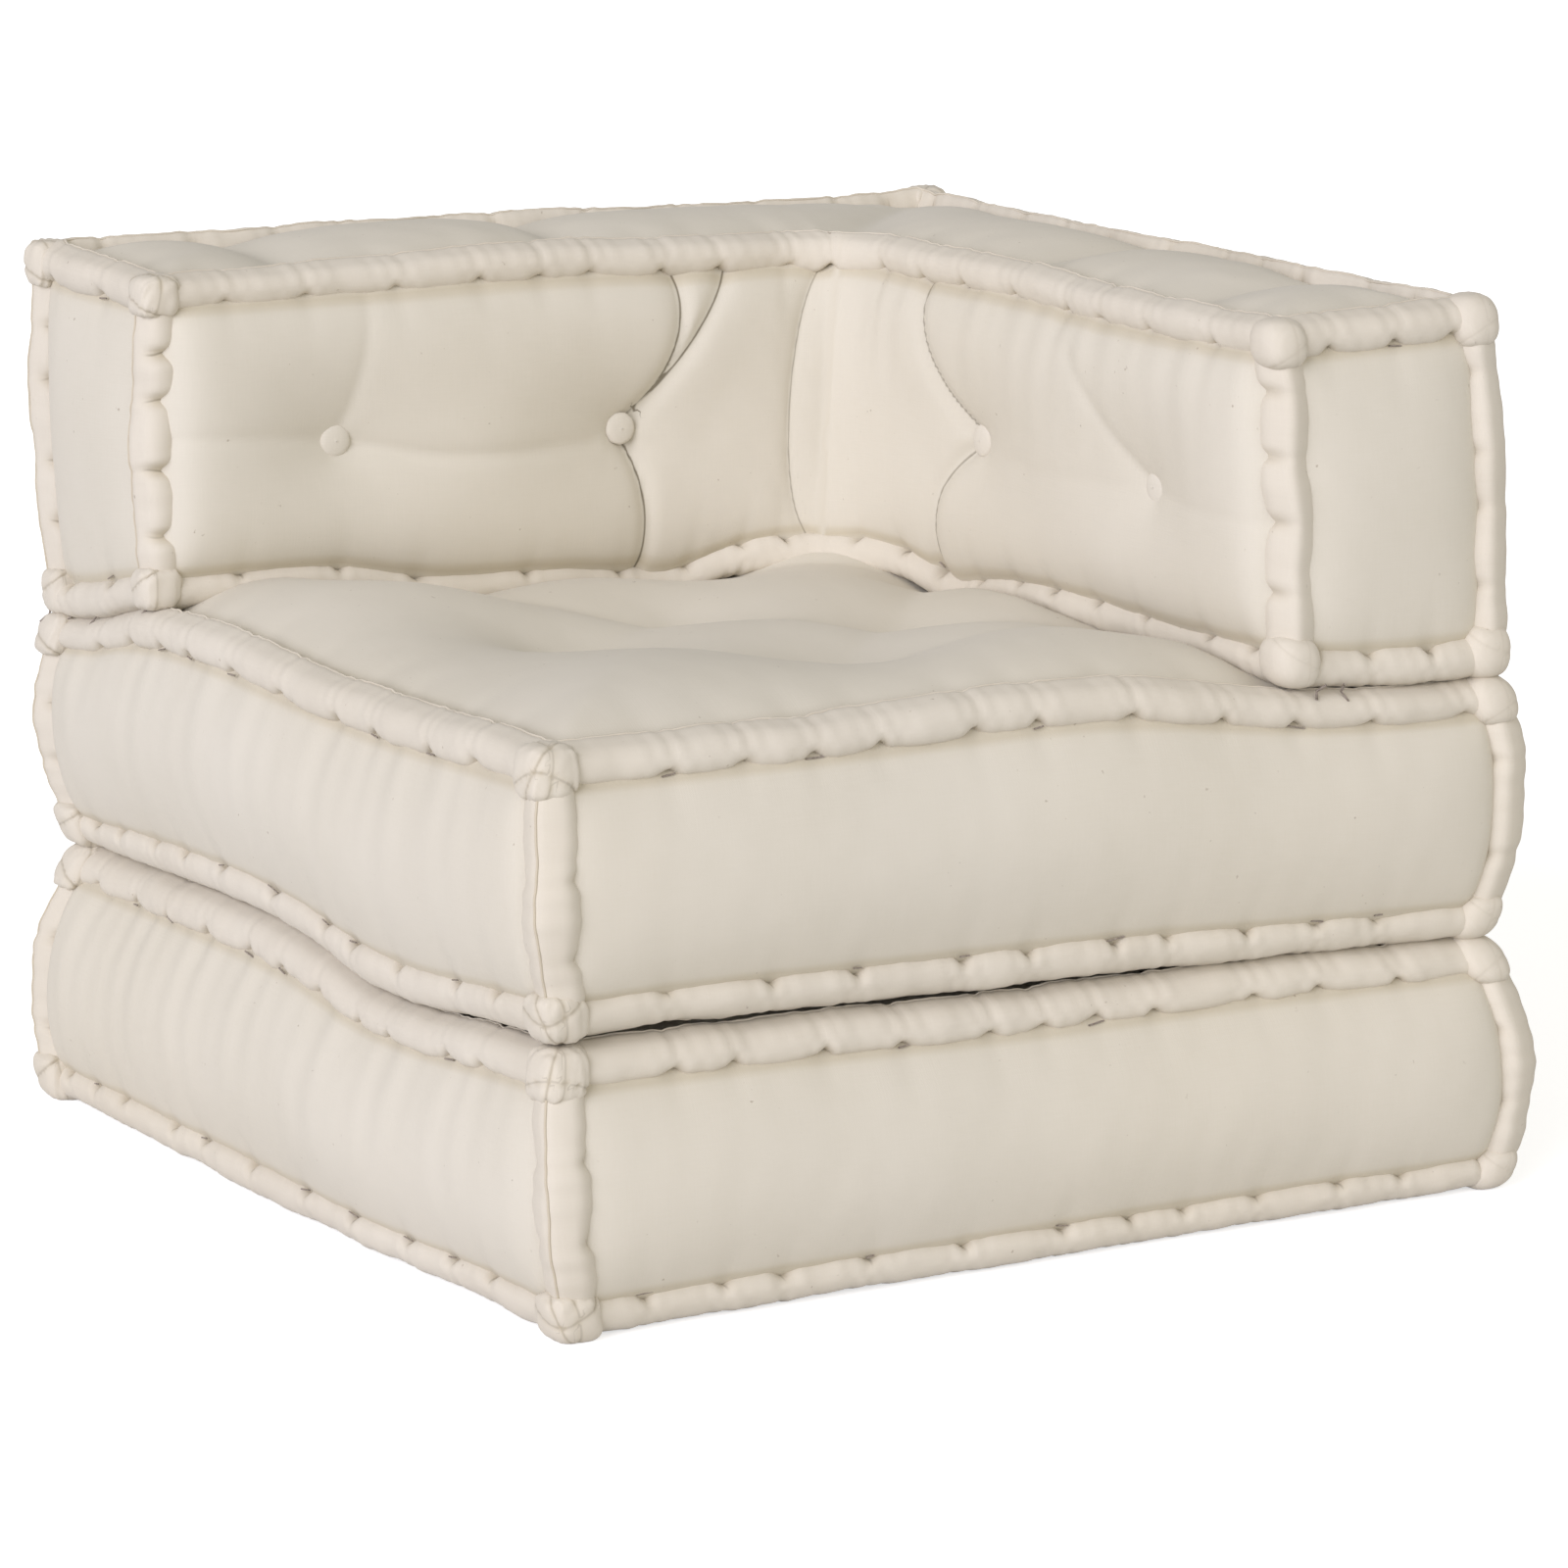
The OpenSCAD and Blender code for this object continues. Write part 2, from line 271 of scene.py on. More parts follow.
def skin_grid(cushion, cell):
    """The straight box of the cushion as one welded grid.

    Returns the points, the quads, the side that each point is on, and whether it is on a seam."""
    rows = max(2, round((cushion.high - cushion.low) / cell))
    points, sides, quads = [], [], []

    def patch(origin, along, up, cells_a, cells_u, side):
        a, u = np.meshgrid(np.linspace(0, 1, cells_a + 1), np.linspace(0, 1, cells_u + 1), indexing="ij")
        grid = np.array(origin) + a[..., None] * np.array(along) + u[..., None] * np.array(up)
        quads.append(grid_quads(cells_a + 1, cells_u + 1, first=sum(len(x) for x in points)))
        points.append(grid.reshape(-1, 3))
        sides.append(np.full(len(points[-1]), side))

    b, low, high = cushion.breaks, cushion.low, cushion.high
    for i, j in cushion.tiles:
        (x0, x1), (y0, y1) = (b[i], b[i + 1]), (b[j], b[j + 1])
        nx, ny = max(2, round((x1 - x0) / cell)), max(2, round((y1 - y0) / cell))
        patch((x0, y0, high), (x1 - x0, 0, 0), (0, y1 - y0, 0), nx, ny, TOP)
        patch((x0, y1, low), (x1 - x0, 0, 0), (0, y0 - y1, 0), nx, ny, BOTTOM)
        for side, beyond, start, along, cells in (
                (FRONT, (i, j - 1), (x0, y0, low), (x1 - x0, 0, 0), nx),
                (RIGHT, (i + 1, j), (x1, y0, low), (0, y1 - y0, 0), ny),
                (REAR, (i, j + 1), (x1, y1, low), (x0 - x1, 0, 0), nx),
                (LEFT, (i - 1, j), (x0, y1, low), (0, y0 - y1, 0), ny)):
            if beyond not in cushion.tiles:
                patch(start, along, (0, 0, high - low), cells, rows, side)
    points, sides, quads = np.concatenate(points), np.concatenate(sides), np.concatenate(quads)
    keys = np.round(points * 1e5).astype(int)
    _, first, where = np.unique(keys, axis=0, return_index=True, return_inverse=True)
    where = where.ravel()
    lowest, highest = np.full(len(first), 9), np.full(len(first), -1)
    np.minimum.at(lowest, where, sides)
    np.maximum.at(highest, where, sides)
    return points[first], where[quads], lowest, lowest != highest


SIM_FRAMES = 20
SIM_CAP = 9 * MM
COTTON = {"quality": 5, "mass": 0.25, "tension_stiffness": 18, "compression_stiffness": 18,
          "shear_stiffness": 6, "bending_stiffness": 2.5, "tension_damping": 8,
          "compression_damping": 8, "shear_damping": 8, "air_damping": 3, "use_pressure": True,
          "uniform_pressure_force": 4, "shrink_min": 0}


def held_simulation(points, quads, held):
    """Inflates the cloth between its held points and returns the moved points, no further than SIM_CAP."""
    work = make_mesh("cloth_work", points, quads.tolist())
    group = work.vertex_groups.new(name="held")
    group.add([int(i) for i in np.nonzero(held)[0]], 1.0, "REPLACE")
    cloth = work.modifiers.new("cloth", "CLOTH")
    for setting, value in COTTON.items():
        setattr(cloth.settings, setting, value)
    cloth.settings.vertex_group_mass = "held"
    cloth.settings.effector_weights.gravity = 0
    cloth.collision_settings.use_collision = False
    cloth.collision_settings.use_self_collision = False
    cloth.point_cache.frame_start, cloth.point_cache.frame_end = 1, SIM_FRAMES
    scene = bpy.context.scene
    for number in range(1, SIM_FRAMES + 1):
        scene.frame_set(number)
    evaluated = work.evaluated_get(bpy.context.evaluated_depsgraph_get())
    moved = vectors(evaluated.data.vertices, "co")
    bpy.data.objects.remove(work)
    scene.frame_set(1)
    step = moved - points
    length = np.linalg.norm(step, axis=1)
    return points + step * np.minimum(1.0, SIM_CAP / np.maximum(length, 1e-9))[:, None]


def subdivided(points, quads, straight):
    """One Catmull-Clark step. Each point's place on the straight box is carried along."""
    work = make_mesh("finer_work", points, quads.tolist(), straight=straight)
    finer = work.modifiers.new("finer", "SUBSURF")
    finer.levels = finer.render_levels = 1
    evaluated = work.evaluated_get(bpy.context.evaluated_depsgraph_get())
    fine = bpy.data.meshes.new_from_object(evaluated)
    bpy.data.objects.remove(work)
    return fine, vectors(fine.attributes["straight"].data, "vector")


def side_of(cushion, p):
    """The side that each straight-box point lies on, by its nearest plane."""
    x, y, z = p.T
    planes = [cushion.high - z, z - cushion.low]
    if len(cushion.tiles) == 1:
        planes += [y + SEAM, SEAM - x, SEAM - y, x + SEAM]
    else:
        wing = x < INNER_SEAM - 1e-6
        planes += [np.where(wing, np.abs(y - INNER_SEAM), y + SEAM), SEAM - x, SEAM - y,
                   np.where(y < INNER_SEAM - 1e-6, np.abs(x - INNER_SEAM), x + SEAM)]
    return np.abs(np.array(planes)).argmin(axis=0)


def rise(d, reach):
    """0 at a seam, and near 1 well away from it."""
    return 1 - np.exp(-np.maximum(d, 0) / (reach * MM))


def dimpled(x, y, places, reach, depth):
    """A factor that is 1 - depth at each place and 1 away from it."""
    factor = np.ones_like(x)
    for px, py in places:
        factor *= 1 - depth * np.exp(-(np.hypot(x - px, y - py) / (reach * MM)) ** 1.4)
    return factor


def groove(d):
    """A factor that falls to a quarter in a groove of the top, at distance d from its middle."""
    return 1 - 0.75 * np.exp(-(np.abs(d) / 0.028) ** 1.3)


def crease(u, v, route):
    """The distance from the bent line that runs from the first point of the route to the last, pulled by
    the middle one, how much of its strength is left there, and which side of it a point is on."""
    a, c, b = (np.array(q, float) * MM for q in route)
    t = np.linspace(0, 1, 13)[:, None]
    line = (1 - t) ** 2 * a + 2 * t * (1 - t) * c + t * t * b
    distance, strength, hand = np.full_like(u, FAR), np.zeros_like(u), np.ones_like(u)
    for k in range(len(line) - 1):
        d, share = segment_distance(u, v, line[k], line[k + 1])
        closer = d < distance
        (ax, ay), (bx, by) = line[k], line[k + 1]
        turn = (bx - ax) * (v - ay) - (by - ay) * (u - ax)
        hand = np.where(closer, np.where(turn < 0, -1.0, 1.0), hand)
        distance = np.where(closer, d, distance)
        strength = np.where(closer, 1 - 0.5 * (k + share) / (len(line) - 1), strength)
    return distance, strength, hand


# ---- base and seat mattresses ----

# How far the borders bulge, and how soon from each corner, in mm.
BORDER_SWELL, LEFT_SWELL = (14, 6), (12.5, 4)
BASE_CROWN, SEAT_CROWN, BACK_CROWN = 16, 40, 20         # how high the tops stand, in mm
# The folds of the square tops run from tuft to tuft: the start, a point that pulls it, and the end, in mm.
SEAT_CREASES = [((-170, 185), (-60, 165), (60, 185)), ((60, 185), (140, 120), (185, 60)),
                ((-45, 21), (-110, 80), (-170, 185)), ((-45, 21), (10, -20), (66, -70)),
                ((66, -70), (130, -110), (185, -170)), ((-175, -73), (-110, -40), (-45, 21)),
                ((-175, -73), (-120, -150), (-56, -200)), ((-56, -200), (10, -130), (66, -70)),
                ((-56, -200), (60, -230), (185, -170)), ((185, 60), (120, 0), (66, -70))]
TUFT_PLACES = [(x * HALF, y * HALF) for x, y in TUFTS]


def mattress_top(cushion, x, y, height):
    """The tufted top of a square mattress, above its seams."""
    form = height * MM * rise(cushion.from_edge(x, y) - 7 * MM, 42)
    form = form * dimpled(x, y, TUFT_PLACES, 62, 0.86)
    folds = np.zeros_like(x)
    for route in SEAT_CREASES:
        distance, strength, _ = crease(x, y, route)
        folds = np.maximum(folds, strength * np.exp(-distance / 0.022))
    return form * (1 - 0.30 * folds)


def seat_top(cushion, x, y):
    """The seat: soft puffs in the open corner, pressed flat under the back cushion."""
    free = mattress_top(cushion, x, y, SEAT_CROWN)
    into = np.maximum(x, y) - INNER
    against_rear = smooth((0.09 - x) / 0.08)
    start, slope = 0.012 + 0.007 * against_rear, 0.055 - 0.028 * against_rear
    room = ROLL_R + 30 * MM * smooth((start - into) / slope)
    return np.minimum(free, room)


def top_and_bottom(cushion, p, sides, top):
    """How far the top stands up from the middle of the rolls, and the bottom hangs down."""
    under = ROLL_R * rise(cushion.from_edge(p[:, 0], p[:, 1]), 16)
    push = np.zeros_like(p)
    push[:, 2] = np.where(sides == TOP, top, 0) - np.where(sides == BOTTOM, under, 0)
    return push


def mattress_form(cushion, p, sides, top):
    """How the stuffing pushes out each side of a square mattress."""
    x, y, z = p.T
    push = np.zeros_like(p)
    upright = np.minimum(z - cushion.low, cushion.high - z)
    for side in (FRONT, RIGHT, REAR, LEFT):
        on = sides == side
        along = x if side in (FRONT, REAR) else y
        most, from_corner = LEFT_SWELL if side == LEFT else BORDER_SWELL
        swell = most * MM * rise(upright, 11) * rise(SEAM - np.abs(along), from_corner)
        push[on] += NORMALS[side] * swell[on, None]
    return push + top_and_bottom(cushion, p, sides, top)


# ---- the back cushion ----

# From each button: how strong a crease is, then its route in mm, along the wing and up.
BACK_CREASES = {
    "rear": [(0.45, (-212, 458), (-280, 468), (-342, 468)), (0.6, (-212, 458), (-120, 446), (-20, 452)),
             (0.4, (-212, 458), (-196, 500), (-190, 558)), (1.0, (0, 458), (52, 500), (44, 562)),
             (1.0, (0, 458), (40, 492), (86, 562)), (1.0, (0, 458), (22, 420), (14, 366))],
    "side": [(1.0, (0, 458), (62, 500), (72, 560)), (0.9, (0, 458), (52, 430), (56, 366)),
             (0.55, (-212, 458), (-180, 480), (-126, 536)), (0.2, (-212, 458), (-150, 450), (-40, 452)),
             (0.3, (-212, 458), (-270, 450), (-330, 452))],
}


def wing_masks(p, sides):
    """Which points are on the rear wing's inner face, and which on the side wing's."""
    rear = (sides == FRONT) & (p[:, 0] < INNER_SEAM + 1e-5) & (np.abs(p[:, 1] - INNER_SEAM) < 1e-4)
    side = (sides == LEFT) & (p[:, 1] < INNER_SEAM + 1e-5) & (np.abs(p[:, 0] - INNER_SEAM) < 1e-4)
    return rear, side


def button_places():
    """Where the buttons are on each wing: how far along it, and how high."""
    names = {"rear": ("rear_left_button", "rear_middle_button"),
             "side": ("side_middle_button", "side_front_button")}
    places = {}
    for wing, pair in names.items():
        middles = [(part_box(name)[0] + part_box(name)[1]) / 2 for name in pair]
        places[wing] = [((m.x if wing == "rear" else m.y), m.z) for m in middles]
    return places


def back_form(cushion, p, sides):
    """How the stuffing pushes out each side of the back cushion, between its buttons."""
    x, y, z = p.T
    push = np.zeros_like(p)
    upright = np.minimum(z - cushion.low, cushion.high - z)
    tall = rise(upright, 16)
    buttons = button_places()
    rear, side = wing_masks(p, sides)
    for on, along, normal, wing in ((rear, x, (0, -1, 0), "rear"), (side, y, (-1, 0, 0), "side")):
        depth = 0.58 if wing == "rear" else 0.52
        swell = 26 * MM * tall * rise(along + SEAM, 9) * dimpled(along, z, buttons[wing], 40, depth)
        lean = bell(INNER_SEAM - along, 0.06)[:, None]
        across = np.array((-1, 0, 0) if wing == "rear" else (0, -1, 0))
        way = np.array(normal) + lean * across
        push[on] += (swell[:, None] * way / np.linalg.norm(way, axis=1)[:, None])[on]
    for number, on in ((FRONT, (sides == FRONT) & ~rear), (LEFT, (sides == LEFT) & ~side),
                       (RIGHT, sides == RIGHT), (REAR, sides == REAR)):
        flank = number in (RIGHT, REAR)
        along = y if number in (RIGHT, LEFT) else x
        from_end = np.minimum(along + SEAM if flank else along - INNER_SEAM, SEAM - along)
        swell = (15 if flank else 12) * MM * rise(upright, 12) * rise(from_end, 12)
        if flank:
            swell *= dimpled(along, z, buttons["rear" if number == REAR else "side"], 40, 0.7)
        push[on] += NORMALS[number] * swell[on, None]
    ridge = np.ones_like(x)
    for gx in (-225, -15):
        ridge *= np.where(y > INNER_SEAM, groove(x - gx * MM), 1)
    for gy in (-5, -208):
        ridge *= np.where(x > INNER_SEAM, groove(y - gy * MM), 1)
    ridge *= groove((x - y) / math.sqrt(2))
    crown = BACK_CROWN * MM * rise(cushion.from_edge(x, y) - 6 * MM, 24) * ridge
    return push + top_and_bottom(cushion, p, sides, crown)


# ---- finishing folds, after the simulation ----

def along_outline(cushion, x, y):
    """How far round the outline of the plan the nearest point lies, and how far away it is."""
    nearest, place, before = np.full_like(x, FAR), np.zeros_like(x), 0.0
    for a, b in cushion.edges():
        d, t = segment_distance(x, y, a, b)
        length = math.dist(a, b)
        closer = d < nearest - 1e-9
        place = np.where(closer, before + t * length, place)
        nearest = np.where(closer, d, nearest)
        before += length
    return place, nearest


def stitch_places(cushion, ring):
    """Where the hand stitches of one ring pull in, as distances round the outline, and its length."""
    length = sum(math.dist(a, b) for a, b in cushion.edges())
    rng = np.random.default_rng(cushion.seed * 10 + ring)
    gaps = rng.uniform(0.65, 1.35, round(length / STITCH_PITCH))
    return np.cumsum(gaps) / gaps.sum() * length, length


def stitch_distance(s, places, length):
    """Distance along the outline to the nearest stitch, and how far s is between its two, 0 to 1."""
    s = np.mod(s, length)
    after = np.searchsorted(places, s)
    b = places[np.minimum(after, len(places) - 1)]
    a = np.where(after == 0, places[-1] - length, places[after - 1])
    return np.minimum(np.abs(s - a), np.abs(b - s)), (s - a) / np.maximum(b - a, 1e-6)


def fold_height(cushion, p, sides):
    """Small folds of the finished skin along its normals, and how much painted shade each point gets in the
    creases, 0 to 1.
    """
    x, y, z = p.T
    height, crease_shade = np.zeros(len(p)), np.zeros(len(p))
    s, _ = along_outline(cushion, x, y)
    upright = np.isin(sides, (FRONT, RIGHT, REAR, LEFT))
    for ring, seam_z in ((0, cushion.low), (1, cushion.high)):
        places, length = stitch_places(cushion, ring)
        near, _ = stitch_distance(s, places, length)
        reach = np.abs(z - seam_z)
        pull = bell(near, 0.008) * np.exp(-reach / 0.018)
        height -= np.where(upright, np.where(sides == LEFT, 3.0, 1.7) * MM * pull, 0)
        gathers = waves(s, cushion.seed + 40 + ring, (0.066, 0.043, 0.029)) * np.exp(-reach / 0.055)
        strength = np.where(sides == LEFT, 2.8 if ring else 0.6, 0.2) * MM
        if len(cushion.tiles) > 1:
            strength = strength * 0.6 * smooth((INNER_SEAM - y) / 0.12)
        height += np.where(upright, strength * gathers, 0)
        # Painted shade beside the stitches and in the crease along each roll.
        crease_shade += np.where(upright, 0.15 * np.exp(-reach / 0.02) + 0.85 * bell(reach - 0.0108, 0.0036), 0)
    places, length = stitch_places(cushion, 1)
    near, _ = stitch_distance(s, places, length)
    inward = cushion.from_edge(x, y)
    height -= np.where(sides == TOP, 2.6 * MM * bell(near, 0.012) * np.exp(-inward / 0.024), 0)
    # Painted shade on the top and bottom in the crease beside the rolls.
    beside = 0.2 * np.exp(-inward / 0.02) + 0.6 * bell(inward - 0.0112, 0.0045)
    crease_shade += np.where((sides == TOP) | (sides == BOTTOM), beside, 0)
    u = np.where(np.isin(sides, (LEFT, RIGHT)), y, x)
    v = np.where(np.isin(sides, (TOP, BOTTOM)), y, z)
    height += 1.2 * MM * wobble2(u, v, cushion.seed + 60, (0.19, 0.12))
    height += 0.25 * MM * wobble2(u, v, cushion.seed + 61, (0.05, 0.03))
    return height, crease_shade, np.zeros((len(p), 3))


def back_folds(cushion, p, sides):
    """The folds of the back cushion: the small ones, and the long creases that run from its buttons."""
    height, crease_shade, line = fold_height(cushion, p, sides)
    rear, side = wing_masks(p, sides)
    for on, along, wing in ((rear, p[:, 0], "rear"), (side, p[:, 1], "side")):
        depth, nearest = np.zeros(len(p)), np.full(len(p), FAR)
        for number, (weight, *route) in enumerate(BACK_CREASES[wing]):
            distance, strength, hand = crease(along, p[:, 2], route)
            soft, sharp = np.exp(-distance / 0.015), np.exp(-(distance / 0.0055) ** 1.5)
            depth = np.maximum(depth, weight * strength * (soft + weight * sharp) / 2)
            closer = on & (distance < nearest)
            # Painted dark lines along the strong creases from the buttons, as painted shade in the folds.
            drawn = smooth((weight - 0.7) / 0.2) * (0.8 if wing == "rear" else 0.55)
            line[closer, 0] = ((-1) ** number * hand * np.minimum(distance, 0.01) / MM)[closer]
            line[closer, 1] = (drawn * (1 - smooth((distance - 0.004) / 0.003)))[closer]
            nearest = np.where(closer, distance, nearest)
        height -= np.where(on, 10.5 * MM * depth, 0)
    t = (p[:, 2] - cushion.low) / (cushion.high - cushion.low)
    from_seam = p[:, 0] - (INNER_SEAM - (9 + 26 * np.sin(math.pi * np.clip(t, 0, 1))) * MM)
    height -= np.where(rear, 5.5 * MM * np.exp(-np.abs(from_seam) / 0.014), 0)
    # A painted dark line along the corner seam: a dark seam line and painted shade in its valley.
    close = rear & (np.abs(from_seam) < 0.009)
    line[close, 0] = (from_seam / MM)[close]
    line[close, 1] = (0.5 * (1 - smooth((np.abs(from_seam) - 0.004) / 0.003)))[close]
    return height, crease_shade, line


def make_skin(cushion, cell, form, folds, ties, nodes):
    """Builds one cushion's cover: form, inflation, folds and settling."""
    straight, quads, sides, on_seam = skin_grid(cushion, cell)
    points = straight + form(cushion, straight, sides)
    held = on_seam.copy()
    if len(cushion.tiles) > 1:
        inner = (np.abs(straight[:, 0] - INNER_SEAM) < 1e-4) & (np.abs(straight[:, 1] - INNER_SEAM) < 1e-4)
        held &= ~(inner & (straight[:, 2] > cushion.low + 1e-4) & (straight[:, 2] < cushion.high - 1e-4))
    for centre in ties:
        held |= np.linalg.norm(straight - np.array(centre), axis=1) < 1.1 * cell
    points = held_simulation(points, quads, held)
    mesh, straight = subdivided(points, quads, straight)
    sides = side_of(cushion, straight)
    height, crease_shade, line = folds(cushion, straight, sides)
    points = vectors(mesh.vertices, "co") + vectors(mesh.vertices, "normal") * height[:, None]
    points[:, 2] = np.where(sides == BOTTOM, np.maximum(points[:, 2], cushion.z0 + 0.0002), points[:, 2])
    if cushion.name == "base":                          # the seat lies flat on it
        points[:, 2] = np.where(sides == TOP, np.minimum(points[:, 2], cushion.z1 - 0.0002), points[:, 2])
    points = cushion.settle(points)
    u = np.where(np.isin(sides, (LEFT, RIGHT)), straight[:, 1], straight[:, 0])
    v = np.where(np.isin(sides, (TOP, BOTTOM)), straight[:, 1], straight[:, 2])
    # The third value of cloth is the share of painted shade in the creases.
    cloth = np.stack([u + 1.3 * sides, v, np.clip(crease_shade, 0, 1)], axis=1)
    faces = np.zeros(len(mesh.polygons) * 4, np.int32)
    mesh.polygons.foreach_get("vertices", faces)
    faces = faces.reshape(-1, 4).tolist()
    skin = make_mesh(f"{cushion.name}_cover", points, faces, cloth=cloth, line=line)
    bpy.data.meshes.remove(mesh)
    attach(skin, cushion.body)
    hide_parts(*nodes)
    return skin


# ---- parts gathered into one mesh ----

class Parts:
    """Closed shells collected into one mesh."""

    def __init__(self):
        self.points, self.faces, self.cloth, self.line = [], [], [], []
        self.count = 0

    def add(self, points, faces, cloth, line=None):
        """Adds a shell, whose points and fields may be in rows and columns."""
        points, cloth = points.reshape(-1, 3), cloth.reshape(-1, 3)
        self.points.append(points)
        self.faces.extend([[int(i) + self.count for i in face] for face in faces])
        self.cloth.append(cloth)
        self.line.append(np.zeros_like(cloth) if line is None else line.reshape(-1, 3))
        self.count += len(points)

    def piece(self, name, settle, body, slot_name, nodes=()):
        points = settle(np.concatenate(self.points))
        points[:, 2] = np.maximum(points[:, 2], CLEAR_OF_FLOOR)
        made = make_mesh(name, points, self.faces, cloth=np.concatenate(self.cloth),
                         line=np.concatenate(self.line))
        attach(made, body)
        if nodes:
            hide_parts(*nodes)
        return made


def capped(rows, around):
    """The faces of a tube or turned piece of rings, with both ends closed."""
    faces = grid_quads(rows, around, closed_cols=True).tolist()
    faces.append(list(range(around))[::-1])
    faces.append([(rows - 1) * around + k for k in range(around)])
    return faces


def path_length(path):
    """How far along the path each of its points lies."""
    return np.concatenate([[0], np.cumsum(np.linalg.norm(np.diff(path, axis=0), axis=1))])


def tube(parts, centre, out, up, radius, closed, crease_shade=0.0, line=None):
    """A swept tube. radius has a row for each point of the path and a column for each angle."""
    rows, around = radius.shape
    angle = np.linspace(0, 2 * math.pi, around, endpoint=False)
    ring = centre[:, None, :] + radius[..., None] * (
        np.cos(angle)[None, :, None] * out[:, None, :] + np.sin(angle)[None, :, None] * up[:, None, :])
    faces = grid_quads(rows, around, True, True).tolist() if closed else capped(rows, around)
    cloth = np.zeros((rows, around, 3))
    cloth[..., 0] = path_length(centre)[:, None]
    cloth[..., 1] = angle[None, :] * radius.mean()
    # The third value of cloth is the share of painted crease shade.
    cloth[..., 2] = crease_shade
    parts.add(ring, faces, cloth, line)


def welt(parts, centre, out, up, radius, lean, closed, thick, crease_shade):
    """The machine seam that stands up along a roll, at the angle lean from out, painted darker by its share
    of painted seam shade.
    """
    column = np.round(np.mod(lean, 2 * math.pi) / (2 * math.pi) * AROUND).astype(int) % AROUND
    reach = radius[np.arange(len(lean)), column] + 0.1 * MM
    path = centre + reach[:, None] * (np.cos(lean)[:, None] * out + np.sin(lean)[:, None] * up)
    tube(parts, path, out, up, np.full((len(lean), 6), thick), closed, crease_shade)


# ---- the stitched rolls round the edges ----

AROUND = 28
STEP = 0.003


def rounded_loop(corners, bends):
    """Even points along a closed outline whose corners are rounded by the given bends."""
    path = []
    for i, corner in enumerate(corners):
        neighbours = (corner, corners[i - 1], corners[(i + 1) % len(corners)])
        c, before, after = (np.array(q, float) for q in neighbours)
        start = c + (before - c) / np.linalg.norm(before - c) * bends[i]
        end = c + (after - c) / np.linalg.norm(after - c) * bends[i]
        for t in np.linspace(0, 1, 9):
            path.append((1 - t) ** 2 * start + 2 * t * (1 - t) * c + t * t * end)
    path = np.array(path + [path[0]])
    s = path_length(path)
    at = np.linspace(0, s[-1], round(s[-1] / STEP), endpoint=False)
    return np.stack([np.interp(at, s, path[:, k]) for k in (0, 1)], axis=1)


def crease_weight(angle, creases):
    """How strongly the stitches pull at each angle round a roll: most at its two creases."""
    weight = np.full_like(angle, 0.04)
    for c, pull in zip(creases, (0.5, 1.0)):
        weight += pull * np.maximum(np.cos(angle - c), 0) ** 2
    return np.minimum(weight, 1.1)


def roll_radius(s, near, share, seed, rounds, creases, radius, crest, pucker=1.0):
    """The stuffed, stitched surface of a roll, its painted shade at the stitch pinches, and its fold lines
    painted dark as shade.

    rounds are the lengths of its slow changes of width, and crest is the angle of its seam."""
    angle = np.linspace(0, 2 * math.pi, AROUND, endpoint=False)[None, :]
    weight = crease_weight(angle, creases)
    lobes = np.sin(math.pi * np.clip(share, 0, 1)) ** 0.5
    swell = 0.022 * (lobes[:, None] - 0.65) + 0.22 * (lobes[:, None] - 0.65) * weight
    r = radius * (1 + swell + 0.045 * waves(s, seed, rounds)[:, None])
    turned = np.angle(np.exp(1j * (angle - crest)))
    r = r + 1.5 * MM * bell(turned, 0.26) - 0.9 * MM * bell(np.abs(turned) - 0.75, 0.35)
    pinch = bell(near, 0.0045)
    r = r - 4.6 * MM * pinch[:, None] * weight
    beside = np.exp(-near / 0.014)[:, None]
    wave = np.sin(2 * math.pi * s[:, None] / 0.0125 + 0.7 * angle + seed)
    r = r + 0.55 * MM * pucker * beside * wave
    along, round_it = np.broadcast_arrays(s[:, None], angle * radius)
    r = r + 0.7 * MM * pucker * wobble2(along, round_it, seed + 5, (0.05, 0.024))
    # Painted dark lines at the stitch pinches, as painted shade in the pinch.
    signed = np.where(share < 0.5, near, -near)[:, None] + 0.9 * MM * np.sin(2.3 * angle + 40 * s[:, None])
    shown = (0.6 + 0.4 * waves(s, seed + 9, (0.13, 0.09)))[:, None] * smooth((weight - 0.12) / 0.5)
    line = np.zeros((len(s), AROUND, 3))
    line[..., 0] = signed / MM
    line[..., 1] = 0.62 * shown * (1 - smooth((np.abs(signed) - 0.003) / 0.003))
    # The returned share is painted shade, deepest in the stitch pinches.
    return r, np.clip(pinch[:, None] * weight * 0.8, 0, 1), line


